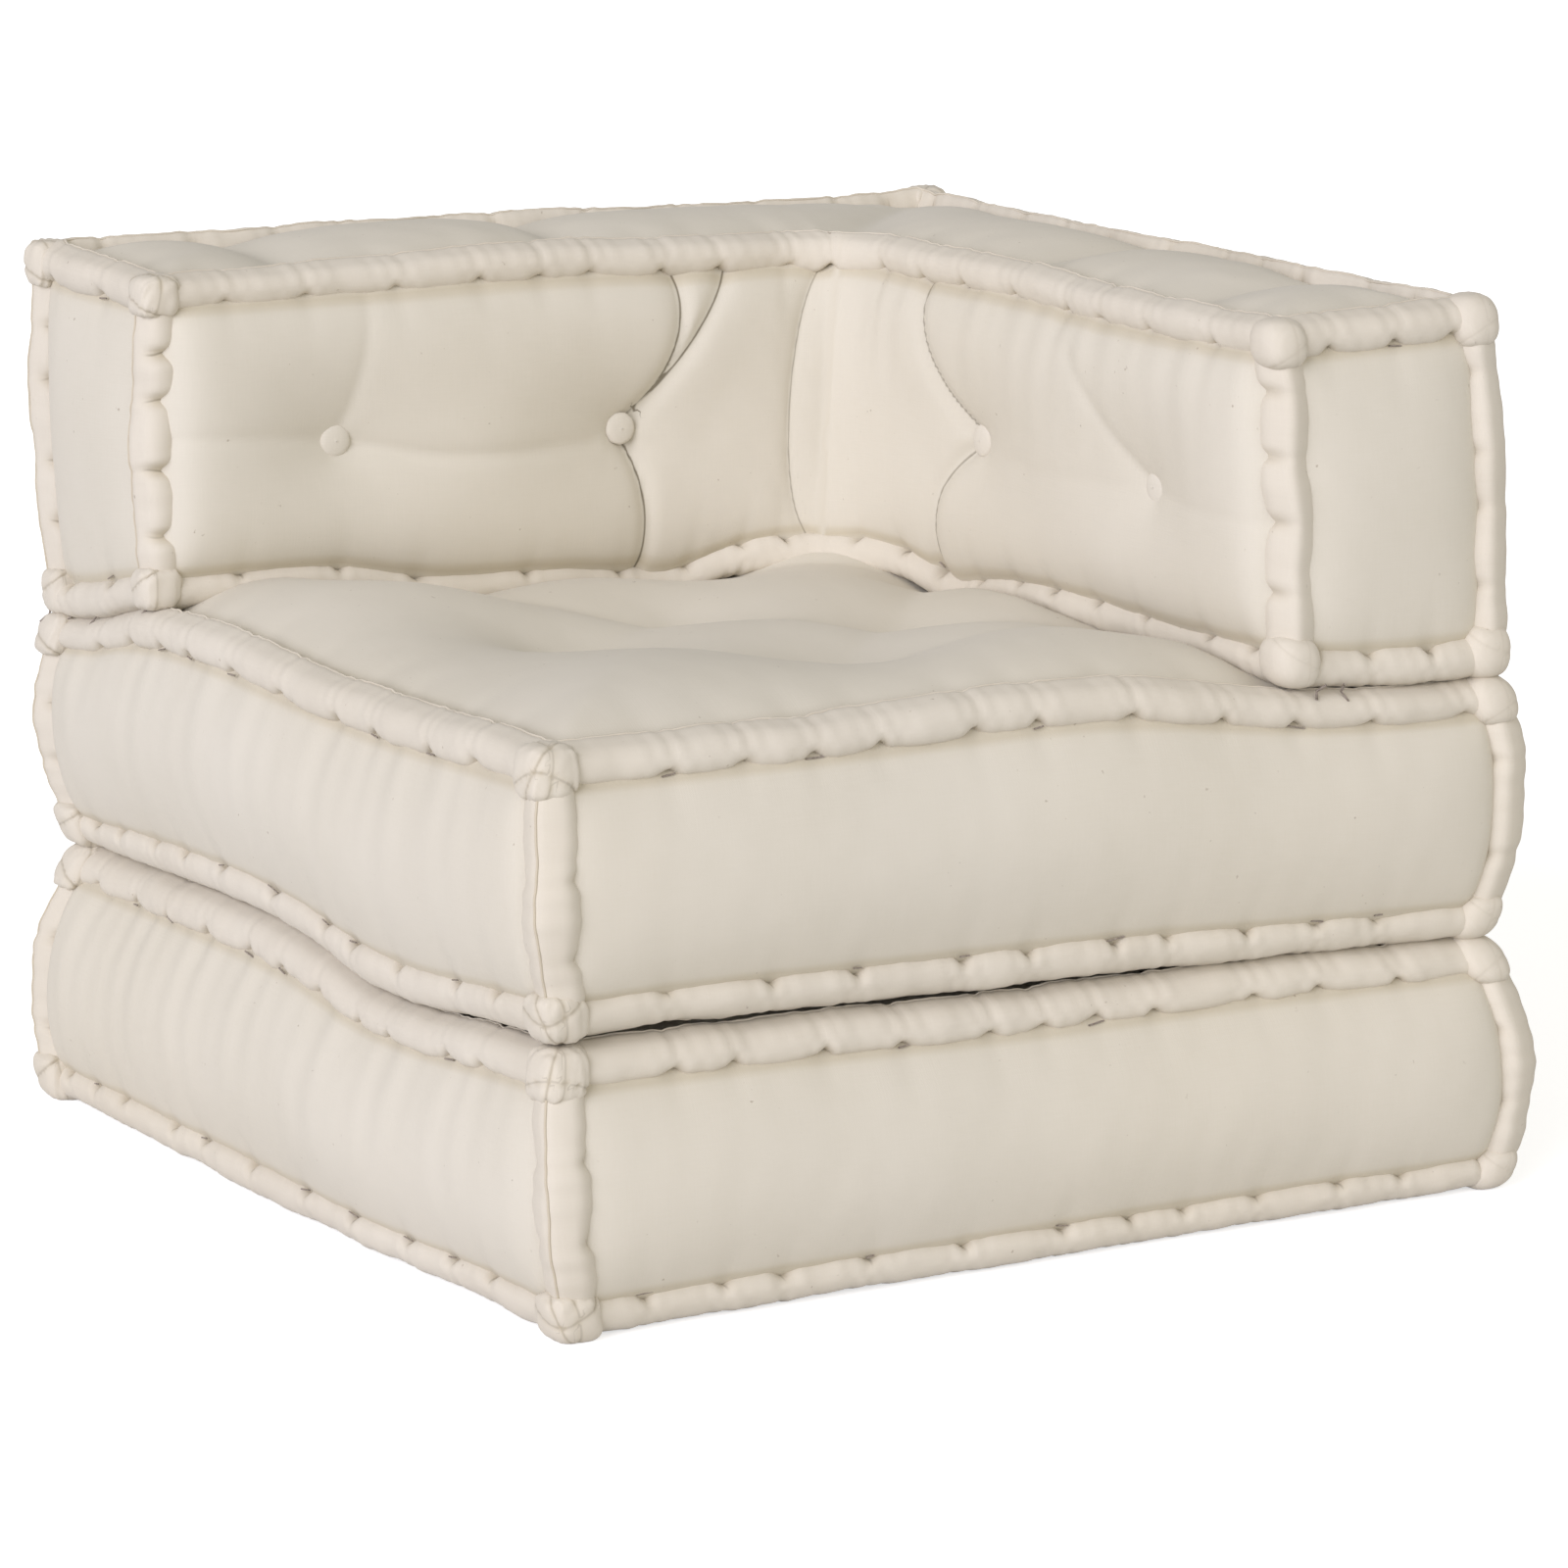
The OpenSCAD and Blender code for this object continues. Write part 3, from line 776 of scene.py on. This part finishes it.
def corner_block(parts, centre, size, seam_way, upward, seed, folded):
    """The folded lump of cloth where the rolls meet at a corner, with its two seams and a fold."""
    n = 19
    a = np.sin(np.linspace(-1, 1, n) * math.pi / 2)
    u, v = np.meshgrid(a, a, indexing="ij")
    one = np.ones_like(u)
    faces_of = [(u, v, one), (v, u, -one), (one, u, v), (-one, v, u), (v, one, u), (u, -one, v)]
    points = np.concatenate([np.stack(f, axis=-1).reshape(-1, 3) for f in faces_of])
    quads = np.concatenate([grid_quads(n, n, first=k * n * n) for k in range(6)])
    _, first, where = np.unique(np.round(points * 1e5).astype(int), axis=0, return_index=True,
                                return_inverse=True)
    points, quads = points[first], where.ravel()[quads]
    power = 2.3 + 0.9 * folded
    length = (np.abs(points) ** power).sum(axis=1) ** (1 / power)
    unit = points / length[:, None]
    rng = np.random.default_rng(seed)
    scale, crease_shade, line = np.ones(len(unit)), np.zeros(len(unit)), np.zeros((len(unit), 3))
    line[:, 0] = FAR
    sx, sy = seam_way
    seams = [((sx, 0.12 * sy, 0.0), 0.30, 0.045), ((-sy * sx * 0.7, 0.7, 0.25 * upward), 0.05, 0.04),
             ((0.35 * sx, 0.35 * sy, -0.85 * upward), 0.52, 0.09)]
    for normal, off, depth in seams:
        normal = np.array(normal) / np.linalg.norm(normal) + rng.normal(size=3) * 0.07
        sharp = np.exp(-np.abs(unit @ normal - off) / 0.05)
        scale -= depth * folded * sharp
        # Painted shade along the seams and the fold of the lump, with painted dark lines beside them.
        crease_shade += 0.8 * folded * sharp
        apart = (unit @ normal - off) * size[0]
        closer = np.abs(apart) < np.abs(line[:, 0])
        line[closer, 0] = apart[closer]
        line[closer, 1] = 0.22 * folded * (1 - smooth((np.abs(apart[closer]) - 2.5) / 2.5))
    scale += 0.06 * folded * wobble2(unit[:, 0] * 3, unit[:, 1] * 3 + unit[:, 2], seed, (2.2, 1.1))
    shaped = unit * scale[:, None] * np.array(size) * MM * rng.uniform(0.96, 1.06)
    cloth = np.stack([shaped[:, 0] + shaped[:, 2], shaped[:, 1], np.clip(crease_shade, 0, 1)], axis=1)
    parts.add(shaped + np.array(centre), quads.tolist(), cloth, line)


def at_right_front(corner):
    """Whether a corner is at the front on the right, where the upright rolls are fat and smooth."""
    return corner[0] > 0 and corner[1] < 0


def ring_roll(cushion, ring, bends):
    """The roll round the top (ring 1) or bottom (ring 0) of a cushion."""
    z = cushion.high if ring else cushion.low
    plan = rounded_loop(cushion.outline(), bends)
    ahead = np.roll(plan, -1, axis=0) - np.roll(plan, 1, axis=0)
    ahead /= np.linalg.norm(ahead, axis=1)[:, None]
    out = np.stack([ahead[:, 1], -ahead[:, 0], np.zeros(len(plan))], axis=1)
    up = np.tile((0.0, 0.0, 1.0), (len(plan), 1))
    places, length = stitch_places(cushion, ring)
    s, _ = along_outline(cushion, plan[:, 0], plan[:, 1])
    near, share = stitch_distance(s, places, length)
    seed = cushion.seed * 100 + ring * 7
    creases = (math.pi, (1.5 if ring else 0.5) * math.pi)
    crest = math.radians(112 if ring else 248)
    rounds = [length / k for k in (41, 67, 113)]
    radius, crease_shade, line = roll_radius(s, near, share, seed, rounds, creases, ROLL_R - 0.7 * MM, crest)
    centre = np.concatenate([plan, np.full((len(plan), 1), z)], axis=1)
    if cushion.name == "back" and not ring:             # it is pressed into the seat
        centre[:, 2] -= 2.6 * MM
    centre += out * (1.9 * MM * waves(s, seed + 1, [length / k for k in (8, 15, 31)]))[:, None]
    centre += up * (1.3 * MM * waves(s, seed + 2, [length / k for k in (7, 17, 29)]))[:, None]
    parts = Parts()
    tube(parts, centre, out, up, radius, True, crease_shade, line)
    lean = crest + 0.10 * waves(s, seed + 3, [length / k for k in (19, 43)])
    # The welt gets a little painted seam shade.
    welt(parts, centre, out, up, radius, lean, True, 0.85 * MM, 0.25)
    for k, corner in enumerate(cushion.outline()):
        concave = len(cushion.tiles) > 1 and k == 1
        if concave:
            continue
        right = at_right_front(corner)
        wide, tall = (17, 16.5) if right or cushion.name != "back" else (15, 15)
        away = np.array(corner) + 0.5 * MM * np.sign(corner)
        inward = (tall - ROLL_R / MM) * MM * (-0.6 if ring else 0.6)
        corner_block(parts, (away[0], away[1], z + inward), (wide, wide, tall), np.sign(corner),
                     1 if ring else -1, seed + 11 * k, 0.25 if right else 1.0)
    return padded_roll(parts, cushion, f"{cushion.name}_{'top' if ring else 'bottom'}_roll")


def padded_roll(parts, cushion, node):
    """The finished piece that stands for one roll of the CAD."""
    name = node.replace("_roll", "_piping")
    piece = parts.piece(name, cushion.settle, cushion.body, "roll_cloth", (node,))
    return piece


# The angle of the machine seam on the upright roll at each corner of a plan, by the signs of x and y.
SEAM_WAY = {(-1, -1): math.pi - 0.56, (1, -1): 1.9, (-1, 1): math.pi + 0.3, (1, 1): -0.5}


def upright_roll(cushion, corner, number, radius, node):
    """The roll up one corner of a cushion."""
    z = np.arange(cushion.low, cushion.high + STEP / 2, STEP * 0.75)
    rng = np.random.default_rng(cushion.seed * 1000 + number)
    tall = cushion.high - cushion.low
    gaps = rng.uniform(0.7, 1.3, max(3, round(tall / UPRIGHT_PITCH)))
    places = cushion.low + np.cumsum(gaps) / gaps.sum() * tall
    places = places[:-1]
    after = np.searchsorted(places, z)
    edges = np.concatenate([[cushion.low], places, [cushion.high]])
    share = (z - edges[after]) / (edges[after + 1] - edges[after])
    near = np.abs(z[:, None] - places[None, :]).min(axis=1)
    sx, sy = np.sign(corner[0]), np.sign(corner[1])
    creases = (math.pi if sx > 0 else 0.0, 0.5 * math.pi if sy > 0 else 1.5 * math.pi)
    seed = cushion.seed * 50 + number
    crest = SEAM_WAY[(int(sx), int(sy))]
    smoother = at_right_front(corner)
    rounds = [tall / k for k in (3.3, 6.1, 9.7)]
    r, crease_shade, line = roll_radius(z, near, share, seed, rounds, creases, radius * MM, crest,
                                   0.15 if smoother else 0.45)
    t = (z - cushion.low) / tall
    if smoother:
        neck = 1.12 - 0.34 * np.exp(-np.minimum(t, 1 - t) * tall / 0.007)
    else:
        neck = 0.72 + 0.28 * np.sin(math.pi * np.clip(t, 0, 1)) ** 0.5
    r = r * neck[:, None]
    scallop = (np.sin(math.pi * np.clip(share, 0, 1)) ** 0.7 - 0.6) * (0.25 if smoother else 1.0)
    angles = np.linspace(0, 2 * math.pi, AROUND, endpoint=False)
    r = r + 3.2 * MM * scallop[:, None] * np.maximum(np.cos(angles - creases[0]), 0)[None, :] ** 0.8
    centre = np.stack([np.full_like(z, corner[0]), np.full_like(z, corner[1]), z], axis=1)
    centre[:, 0] += 1.6 * MM * waves(z, seed + 1, (0.11, 0.07)) + (3.5 if smoother else 2.0) * MM
    centre[:, 1] += 1.6 * MM * waves(z, seed + 2, (0.12, 0.065)) + (3.5 if smoother else sy * 1.5) * MM
    out = np.tile((1.0, 0.0, 0.0), (len(z), 1))
    up = np.tile((0.0, -1.0, 0.0), (len(z), 1))
    parts = Parts()
    tube(parts, centre, out, up, r, False, crease_shade, line * (0.3 if smoother else 1.0))
    if not smoother:
        lean = crest + 0.09 * waves(z, seed + 3, (0.09, 0.05))
        # The welt on the upright roll is painted dark, as painted shade along its seam.
        welt(parts, centre, out, up, r, lean, False, 0.8 * MM, 0.8)
    return padded_roll(parts, cushion, node)


# ---- buttons, washers and hand stitches ----

def lathe(parts, profile, centre, axis, ripple, around=36):
    """A turned piece: profile gives radius and height pairs in mm, axis the way that it faces."""
    axis = np.array(axis, float)
    side = np.cross(axis, (0, 0, 1.0))
    side /= np.linalg.norm(side)
    third = np.cross(axis, side)
    profile = np.array(profile, float) * MM
    turn = np.linspace(0, 2 * math.pi, around, endpoint=False)
    radius = profile[:, 0][:, None] * (1 + ripple * np.sin(9 * turn)[None, :])
    points = np.array(centre) + profile[:, 1][:, None, None] * axis + radius[..., None] * (
        np.cos(turn)[None, :, None] * side + np.sin(turn)[None, :, None] * third)
    cloth = np.zeros((len(profile), around, 3))
    cloth[..., 0] = np.cos(turn)[None, :] * profile[:, 0][:, None]
    cloth[..., 1] = np.sin(turn)[None, :] * profile[:, 0][:, None]
    parts.add(points, capped(len(profile), around), cloth)


def rigid(cushion, centre):
    """A settling that moves a whole piece as its middle moves."""
    offset = cushion.settle(np.array([centre], float))[0] - np.array(centre, float)
    return lambda points: points + offset


def turned_piece(cushion, node, facing, profile, ripple, name, slot_name):
    """A button or disc in the place of its CAD node. profile gives its outline for a radius in mm."""
    low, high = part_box(node)
    middle = (low + high) / 2
    radius = max(high - low) / 2 / MM
    parts = Parts()
    lathe(parts, profile(radius), middle, facing, ripple)
    return parts.piece(name, rigid(cushion, middle), cushion.body, slot_name, (node,))


def dome(r):
    """The outline of a covered button of radius r, in mm."""
    return [(0.5, -2.5), (r * 0.93, -2.5), (r, -1.2), (r, 0.3), (r * 0.96, 1.2), (r * 0.87, 1.9),
            (r * 0.68, 2.5), (r * 0.45, 2.9), (r * 0.22, 3.1), (0.2, 3.15)]


def disc(r):
    """The outline of a felt disc of radius r, in mm."""
    return [(0.5, -1.2), (r * 0.97, -1.2), (r, -0.6), (r, 0.9), (r * 0.94, 1.5), (r * 0.3, 1.2), (0.5, 0.9)]


def thread(parts, points, radius):
    """A short length of thread through the points."""
    path = np.array(points, float)
    t = np.linspace(0, 1, 7)
    at = np.linspace(0, 1, len(path))
    path = np.stack([np.interp(t, at, path[:, k]) for k in range(3)], axis=1)
    ahead = np.gradient(path, axis=0)
    ahead /= np.linalg.norm(ahead, axis=1)[:, None]
    side = np.cross(ahead, (0.13, 0.21, 0.97))
    side /= np.linalg.norm(side, axis=1)[:, None]
    third = np.cross(side, ahead)
    tube(parts, path, side, third, np.full((len(t), 8), radius), False)


def spot_on_outline(cushion, place):
    """The point that far round the outline, the way ahead there, and how far it is from a corner."""
    for a, b in cushion.edges():
        reach = math.dist(a, b)
        if place <= reach:
            ahead = (np.array(b) - np.array(a)) / reach
            return np.array(a) + ahead * place, ahead, min(place, reach - place)
        place -= reach
    return np.array(b), np.zeros(2), 0.0


def edge_stitches(cushion, name):
    """The dark hand stitches in the creases beside the rolls, on every side."""
    parts = Parts()
    rng = np.random.default_rng(cushion.seed + 900)
    angle = math.radians(58)                            # where the crease is, round the roll
    for ring in (0, 1):
        places, length = stitch_places(cushion, ring)
        z = cushion.high if ring else cushion.low
        tilt = -1 if ring else 1
        for place in places:
            here, ahead, from_corner = spot_on_outline(cushion, place % length)
            shown = rng.uniform() < 0.45
            if from_corner < 0.04 or not shown:
                continue
            out = np.array([ahead[1], -ahead[0]])
            half = rng.uniform(0.003, 0.007)
            slope = rng.uniform(-0.2, 0.2)
            line = []
            for t in (-1, 0, 1):
                xy = here + ahead * t * half + out * ROLL_R * math.cos(angle)
                line.append((xy[0], xy[1], z + tilt * ROLL_R * 0.97 * math.sin(angle) + slope * t * half))
            thread(parts, line, 0.5 * MM)
    return parts.piece(name, cushion.settle, cushion.body, "stitching_thread")


def joining_stitches(seat):
    """The whip stitches that hold the back cushion to the seat, along the two outer sides and the ends."""
    parts = Parts()
    rng = np.random.default_rng(77)
    z = seat.z1
    rows = [((-SEAM, INNER + 0.02), (-SEAM, HALF - 0.03), (-1, 0), 0.03),
            ((INNER + 0.02, -SEAM), (HALF - 0.03, -SEAM), (0, -1), 0.03),
            ((HALF, -SEAM), (HALF, SEAM), (1, 0), 0.054), ((-SEAM, HALF), (SEAM, HALF), (0, 1), 0.054)]
    for start, end, out, pitch in rows:
        start, end, out = np.array(start), np.array(end), np.array(out, float)
        count = round(math.dist(start, end) / pitch)
        for k in range(count + 1):
            if abs(out @ start) < HALF - 1e-6 and rng.uniform() < 0.5:
                continue
            here = start + (end - start) * (k + rng.uniform(-0.25, 0.25)) / count
            if abs(out @ here) < HALF - 1e-6:
                here = here + out * ROLL_R
            lean = (end - start) / math.dist(start, end) * rng.uniform(-0.006, 0.008)
            tall = rng.uniform(0.004, 0.008)
            line = [(*(here - lean + out * 0.0005 - out * 0.004), z - tall), (*(here - out * 0.0085), z),
                    (*(here + lean + out * 0.0005 - out * 0.004), z + tall)]
            thread(parts, line, 0.8 * MM)
    return parts.piece("back_whip_stitches", seat.settle, "seat_and_back", "stitching_thread",
                       ("joining_stitches",))


# ---- materials ----

class Nodes:
    """A small helper that adds linked shader nodes."""

    def __init__(self, name):
        self.material = bpy.data.materials.new(name)
        self.material.use_nodes = True
        self.tree = self.material.node_tree
        self.shader = self.tree.nodes["Principled BSDF"]

    def feed(self, node, inputs):
        """Sets each input to its number or colour, or links it to another node's output."""
        for key, value in inputs.items():
            if isinstance(value, bpy.types.NodeSocket):
                self.tree.links.new(value, node.inputs[key])
            else:
                node.inputs[key].default_value = value

    def add(self, kind, inputs=None, **settings):
        node = self.tree.nodes.new(kind)
        for key, value in settings.items():
            setattr(node, key, value)
        self.feed(node, inputs or {})
        return node

    def math(self, operation, *values):
        return self.add("ShaderNodeMath", dict(enumerate(values)), operation=operation).outputs[0]

    def mix(self, factor, a, b):
        return self.add("ShaderNodeMix", {0: factor, 6: a, 7: b}, data_type="RGBA").outputs[2]

    def blend(self, factor, share, a, b):
        """From a towards b, by a share of the factor."""
        return self.mix(self.math("MULTIPLY", factor, share), a, b)

    def noise(self, vector, scale, detail, rough):
        inputs = {"Vector": vector, "Scale": scale, "Detail": detail, "Roughness": rough}
        return self.add("ShaderNodeTexNoise", inputs).outputs["Fac"]

    def ramp(self, value, low, high):
        inputs = {"Value": value, "From Min": low, "From Max": high}
        return self.add("ShaderNodeMapRange", inputs).outputs[0]

    def stretched(self, vector, sx, sy):
        return self.add("ShaderNodeVectorMath", {0: vector, 1: (sx, sy, 1.0)},
                        operation="MULTIPLY").outputs[0]

    def bump(self, height, strength, distance):
        inputs = {"Strength": strength, "Distance": distance, "Height": height}
        return self.add("ShaderNodeBump", inputs).outputs[0]

    def field(self, name):
        """A vector field that is stored on the mesh."""
        return self.add("ShaderNodeAttribute", attribute_name=name).outputs["Vector"]

    def split(self, vector):
        return self.add("ShaderNodeSeparateXYZ", {0: vector}).outputs

    def place(self):
        return self.add("ShaderNodeTexCoord").outputs["Object"]


def tinted(colour, *shares):
    """The colour with its red, green and blue multiplied by the shares."""
    return (*(channel * share for channel, share in zip(colour, shares)), 1.0)


THREAD_GAP = 0.0011                                     # from one thread of the weave to the next
# The colour of the painted dark lines: partly dark seam lines, partly painted shade in creases and stitch
# pinches.
SEAM_AND_SHADE_LINE_COLOUR = (0.13, 0.105, 0.06, 1.0)
SEED_COLOUR = (0.30, 0.24, 0.17, 1.0)


def cloth_material(name, cream, shade, seeds=True, lines=False):
    """Unbleached plain-weave cotton: slubs, weave, seed flecks, painted shade in the creases (darker,
    warmer colour), and painted dark lines along creases and seams.
    """
    m = Nodes(name)
    cloth = m.field("cloth")
    u, v, crease_shade = m.split(cloth)
    place = m.place()
    warp = m.noise(m.stretched(cloth, 900.0, 45.0), 1.0, 3.0, 0.6)
    weft = m.noise(m.stretched(cloth, 45.0, 900.0), 1.0, 3.0, 0.6)
    slub = m.math("ADD", warp, weft)
    cloudy = m.noise(place, 7.0, 3.0, 0.5)
    patch = m.noise(place, 2.3, 1.0, 0.4)
    tone = m.mix(m.ramp(cloudy, 0.3, 0.7), cream, shade)
    tone = m.blend(m.ramp(patch, 0.35, 0.7), 0.5, tone, tinted(cream, 0.99, 0.965, 0.90))
    tone = m.blend(m.ramp(slub, 0.75, 1.25), 0.35, tone, tinted(cream, 1.03, 1.03, 1.035))
    # Painted shade: the third cloth field darkens and warms the colour in creases, in stitch pinches and
    # beside the rolls, where shade falls.
    tone = m.blend(crease_shade, 0.55, tone, tinted(cream, 0.68, 0.61, 0.45))
    if lines:
        # Painted dark lines from the line field: painted shade in creases and pinches, and dark seam lines.
        distance, strength, _ = m.split(m.field("line"))
        sharp = m.ramp(m.math("ABSOLUTE", distance), 1.1, 0.25)
        tone = m.blend(sharp, strength, tone, SEAM_AND_SHADE_LINE_COLOUR)
    if seeds:
        fleck = m.noise(place, 260.0, 1.0, 0.5)
        chance = m.noise(place, 40.0, 1.0, 0.5)
        spots = m.math("MULTIPLY", m.ramp(fleck, 0.74, 0.80), m.ramp(chance, 0.56, 0.64))
        tone = m.blend(spots, 0.6, tone, SEED_COLOUR)
    across, along = (m.math("SINE", m.math("MULTIPLY", way, 2 * math.pi / THREAD_GAP)) for way in (u, v))
    knit = m.math("MULTIPLY", across, along)
    height = m.math("ADD", m.math("MULTIPLY", knit, 0.25), slub)
    rough = m.math("ADD", m.math("MULTIPLY", m.ramp(slub, 0.6, 1.4), 0.08), 0.86)
    m.feed(m.shader, {"Base Color": tone, "Normal": m.bump(height, 0.10, 0.0012), "Roughness": rough,
                      "Specular IOR Level": 0.25, "Sheen Weight": 0.12, "Sheen Roughness": 0.5})
    return m.material


def fibre_material(name, noise, dark, pale, bump, surface):
    """Thread or felt: fine fibres, dark between and pale on top. noise is a scale, detail and roughness."""
    m = Nodes(name)
    fibres = m.noise(m.place(), *noise)
    tone = m.mix(m.ramp(fibres, 0.3, 0.7), dark, pale)
    m.feed(m.shader, {"Base Color": tone, "Normal": m.bump(fibres, *bump), **surface})
    return m.material


# ---- camera, light and floor ----

CAMERA_PLACE, CAMERA_TARGET = (-2.12237, -3.54551, 1.09601), (0, 0, 0.175)
FOCAL_LENGTH, SENSOR_WIDTH = 146.0, 36.0                # in mm
SHIFT_X, SHIFT_Y = 0.0186, 0.0640
WORLD_COLOUR, WORLD_STRENGTH = (1.0, 0.972, 0.885, 1.0), 0.41
FLOOR_REACH, FLOOR_GLOW = 30, 0.62


def make_camera():
    """The photograph's view of the object."""
    data = bpy.data.cameras.new("camera")
    data.lens, data.sensor_width = FOCAL_LENGTH, SENSOR_WIDTH
    data.shift_x, data.shift_y = SHIFT_X, SHIFT_Y
    camera = add_object("camera", data)
    camera.location = CAMERA_PLACE
    camera.rotation_mode = "QUATERNION"
    aim = Vector(CAMERA_TARGET) - camera.location
    camera.rotation_quaternion = aim.to_track_quat("-Z", "Y")
    bpy.context.scene.camera = camera


def make_sun(name, azimuth, elevation, strength, spread, colour):
    """A broad soft light from far away. Azimuth 0 is the front, and -90 the left."""
    data = bpy.data.lights.new(name, "SUN")
    data.energy, data.color, data.angle = strength, colour, math.radians(spread)
    light = add_object(name, data)
    a, e = math.radians(azimuth), math.radians(elevation)
    towards = Vector((math.sin(a) * math.cos(e), -math.cos(a) * math.cos(e), math.sin(e)))
    light.rotation_mode = "QUATERNION"
    light.rotation_quaternion = (-towards).to_track_quat("-Z", "Y")
    light.location = towards * 3


def make_studio():
    """Soft light from the left and front, a pale world, and a floor that shows white."""
    world = bpy.data.worlds.new("studio")
    world.use_nodes = True
    world.node_tree.nodes["Background"].inputs[0].default_value = WORLD_COLOUR
    world.node_tree.nodes["Background"].inputs[1].default_value = WORLD_STRENGTH
    scene = bpy.context.scene
    scene.world = world
    scene.view_settings.view_transform = "Standard"
    make_sun("key", -66, 20, 2.55, 45, (0.985, 0.985, 1.15))
    make_sun("fill", 12, 16, 0.92, 50, (1.0, 0.99, 1.03))
    r = FLOOR_REACH
    floor = make_mesh("floor", [(-r, -r, 0), (r, -r, 0), (r, r, 0), (-r, r, 0)], [[0, 1, 2, 3]])
    m = Nodes("white_floor")
    m.feed(m.shader, {"Base Color": (0.8, 0.8, 0.8, 1.0), "Roughness": 0.9,
                      "Emission Color": (1, 1, 1, 1), "Emission Strength": FLOOR_GLOW})
    floor.data.materials.append(m.material)
    # The floor glows, to be white in the picture, and its glow lights nothing but the floor.
    floor.light_linking.receiver_collection = bpy.data.collections.new("lit_by_floor")
    floor.light_linking.receiver_collection.objects.link(floor)


# ---- the whole seat ----

def make_cushions():
    """The three cushions. bumps are a centre, a reach and an offset, in mm, before settling."""
    square = [-SEAM, SEAM]
    base = Cushion("base", "base_mattress", BASE_Z, square, {(0, 0)}, ("floor", "base_top"), 16 * MM, 3)
    seat_bumps = [((150, 150, 345), (62, 62, 45), (-8, -8, 11)),
                  ((240, -345, 350), (100, 50, 30), (0, -6, -3))]
    seat = Cushion("seat", "seat_and_back", SEAT_Z, square, {(0, 0)}, ("seat_bottom", "seat"), 12.5 * MM, 5,
                   seat_bumps)
    back_bumps = [((150, 150, 363), (90, 90, 45), (0, 0, 12)), ((40, 175, 363), (50, 50, 30), (0, 0, -13)),
                  ((175, 40, 363), (50, 50, 30), (0, 0, -13))]
    back = Cushion("back", "seat_and_back", BACK_Z, [-SEAM, INNER_SEAM, SEAM], {(0, 1), (1, 0), (1, 1)},
                   ("seat", "top"), 4 * MM, 7, back_bumps)
    return base, seat, back


def finish_with(pieces, material):
    for piece in pieces:
        piece.data.materials.append(material)


def make_pieces(cushion, cell, form, folds, ties, bends, radius, corners):
    """The cover, the rolls and the stitches of a cushion. The rolls stand for the CAD's rolls, and the
    cover for its panels, borders, filling and ties."""
    own = [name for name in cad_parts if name.startswith(f"{cushion.name}_")]
    skin = make_skin(cushion, cell, form, folds, ties, [name for name in own if not name.endswith("_roll")])
    rolls = [ring_roll(cushion, ring, bends) for ring in (0, 1)]
    for number, (place, corner) in enumerate(corners.items()):
        rolls.append(upright_roll(cushion, corner, number, radius, f"{cushion.name}_{place}_roll"))
    return skin, rolls, edge_stitches(cushion, f"{cushion.name}_edge_stitches")


def make_square(cushion, top):
    """The base or the seat. top gives the height of its upper side above the middle of its rolls."""
    def form(c, p, sides):
        return mattress_form(c, p, sides, top(c, p[:, 0], p[:, 1]))

    ties = [(x, y, cushion.high) for x, y in TUFT_PLACES]
    corners = {"front_left": (-SEAM, -SEAM), "front_right": (SEAM, -SEAM), "rear_right": (SEAM, SEAM),
               "rear_left": (-SEAM, SEAM)}
    return make_pieces(cushion, SQUARE_CELL, form, fold_height, ties, [BEND] * 4, SQUARE_ROLL, corners)


def make_back(cushion):
    ties = []
    for wing, places in button_places().items():
        for along, z in places:
            ties += [(along, INNER_SEAM, z), (along, SEAM, z)] if wing == "rear" else \
                [(INNER_SEAM, along, z), (SEAM, along, z)]
    corners = {"left_inner": (-SEAM, INNER_SEAM), "front_inner": (INNER_SEAM, -SEAM),
               "front_outer": (SEAM, -SEAM), "rear_corner": (SEAM, SEAM), "left_outer": (-SEAM, SEAM)}
    bends = [BEND, CONCAVE_BEND] + [BEND] * 4
    return make_pieces(cushion, BACK_CELL, back_form, back_folds, ties, bends, BACK_ROLL, corners)


def build():
    base, seat, back = make_cushions()
    made = (make_square(base, lambda c, x, y: mattress_top(c, x, y, BASE_CROWN)),
            make_square(seat, seat_top), make_back(back))
    skins = [skin for skin, _, _ in made]
    rolls = [roll for _, some, _ in made for roll in some]
    threads = [stitches for _, _, stitches in made] + [joining_stitches(seat)]
    faces = {"rear_left": (0, -1, 0), "rear_middle": (0, -1, 0), "side_middle": (-1, 0, 0),
             "side_front": (-1, 0, 0)}
    buttons = [turned_piece(back, f"{name}_button", way, dome, 0.012, f"{name}_covered_button",
                            "button_cover") for name, way in faces.items()]
    washers = [turned_piece(back, f"{name}_washer", [-k for k in way], disc, 0.008, f"{name}_felt_disc",
                            "felt_washer") for name, way in faces.items()]
    cream, shade = (0.632, 0.590, 0.493, 1.0), (0.600, 0.558, 0.457, 1.0)
    roll_cream, roll_shade = (0.632, 0.583, 0.485, 1.0), (0.60, 0.545, 0.445, 1.0)
    finish_with(skins, cloth_material("cover_cotton", cream, shade, lines=True))
    finish_with(rolls, cloth_material("roll_cotton", roll_cream, roll_shade, lines=True))
    finish_with(buttons, cloth_material("button_cotton", (0.68, 0.635, 0.545, 1.0), shade, seeds=False))
    finish_with(threads, fibre_material("dark_thread", (500.0, 2.0, 0.6), (0.19, 0.155, 0.125, 1.0),
                                        (0.33, 0.28, 0.23, 1.0), (0.3, 0.0004), {"Roughness": 0.8}))
    finish_with(washers, fibre_material("pressed_felt", (320.0, 5.0, 0.7), (0.56, 0.50, 0.42, 1.0),
                                        (0.72, 0.66, 0.57, 1.0), (0.5, 0.0006),
                                        {"Roughness": 0.95, "Sheen Weight": 0.3}))


make_camera()
make_studio()
build()
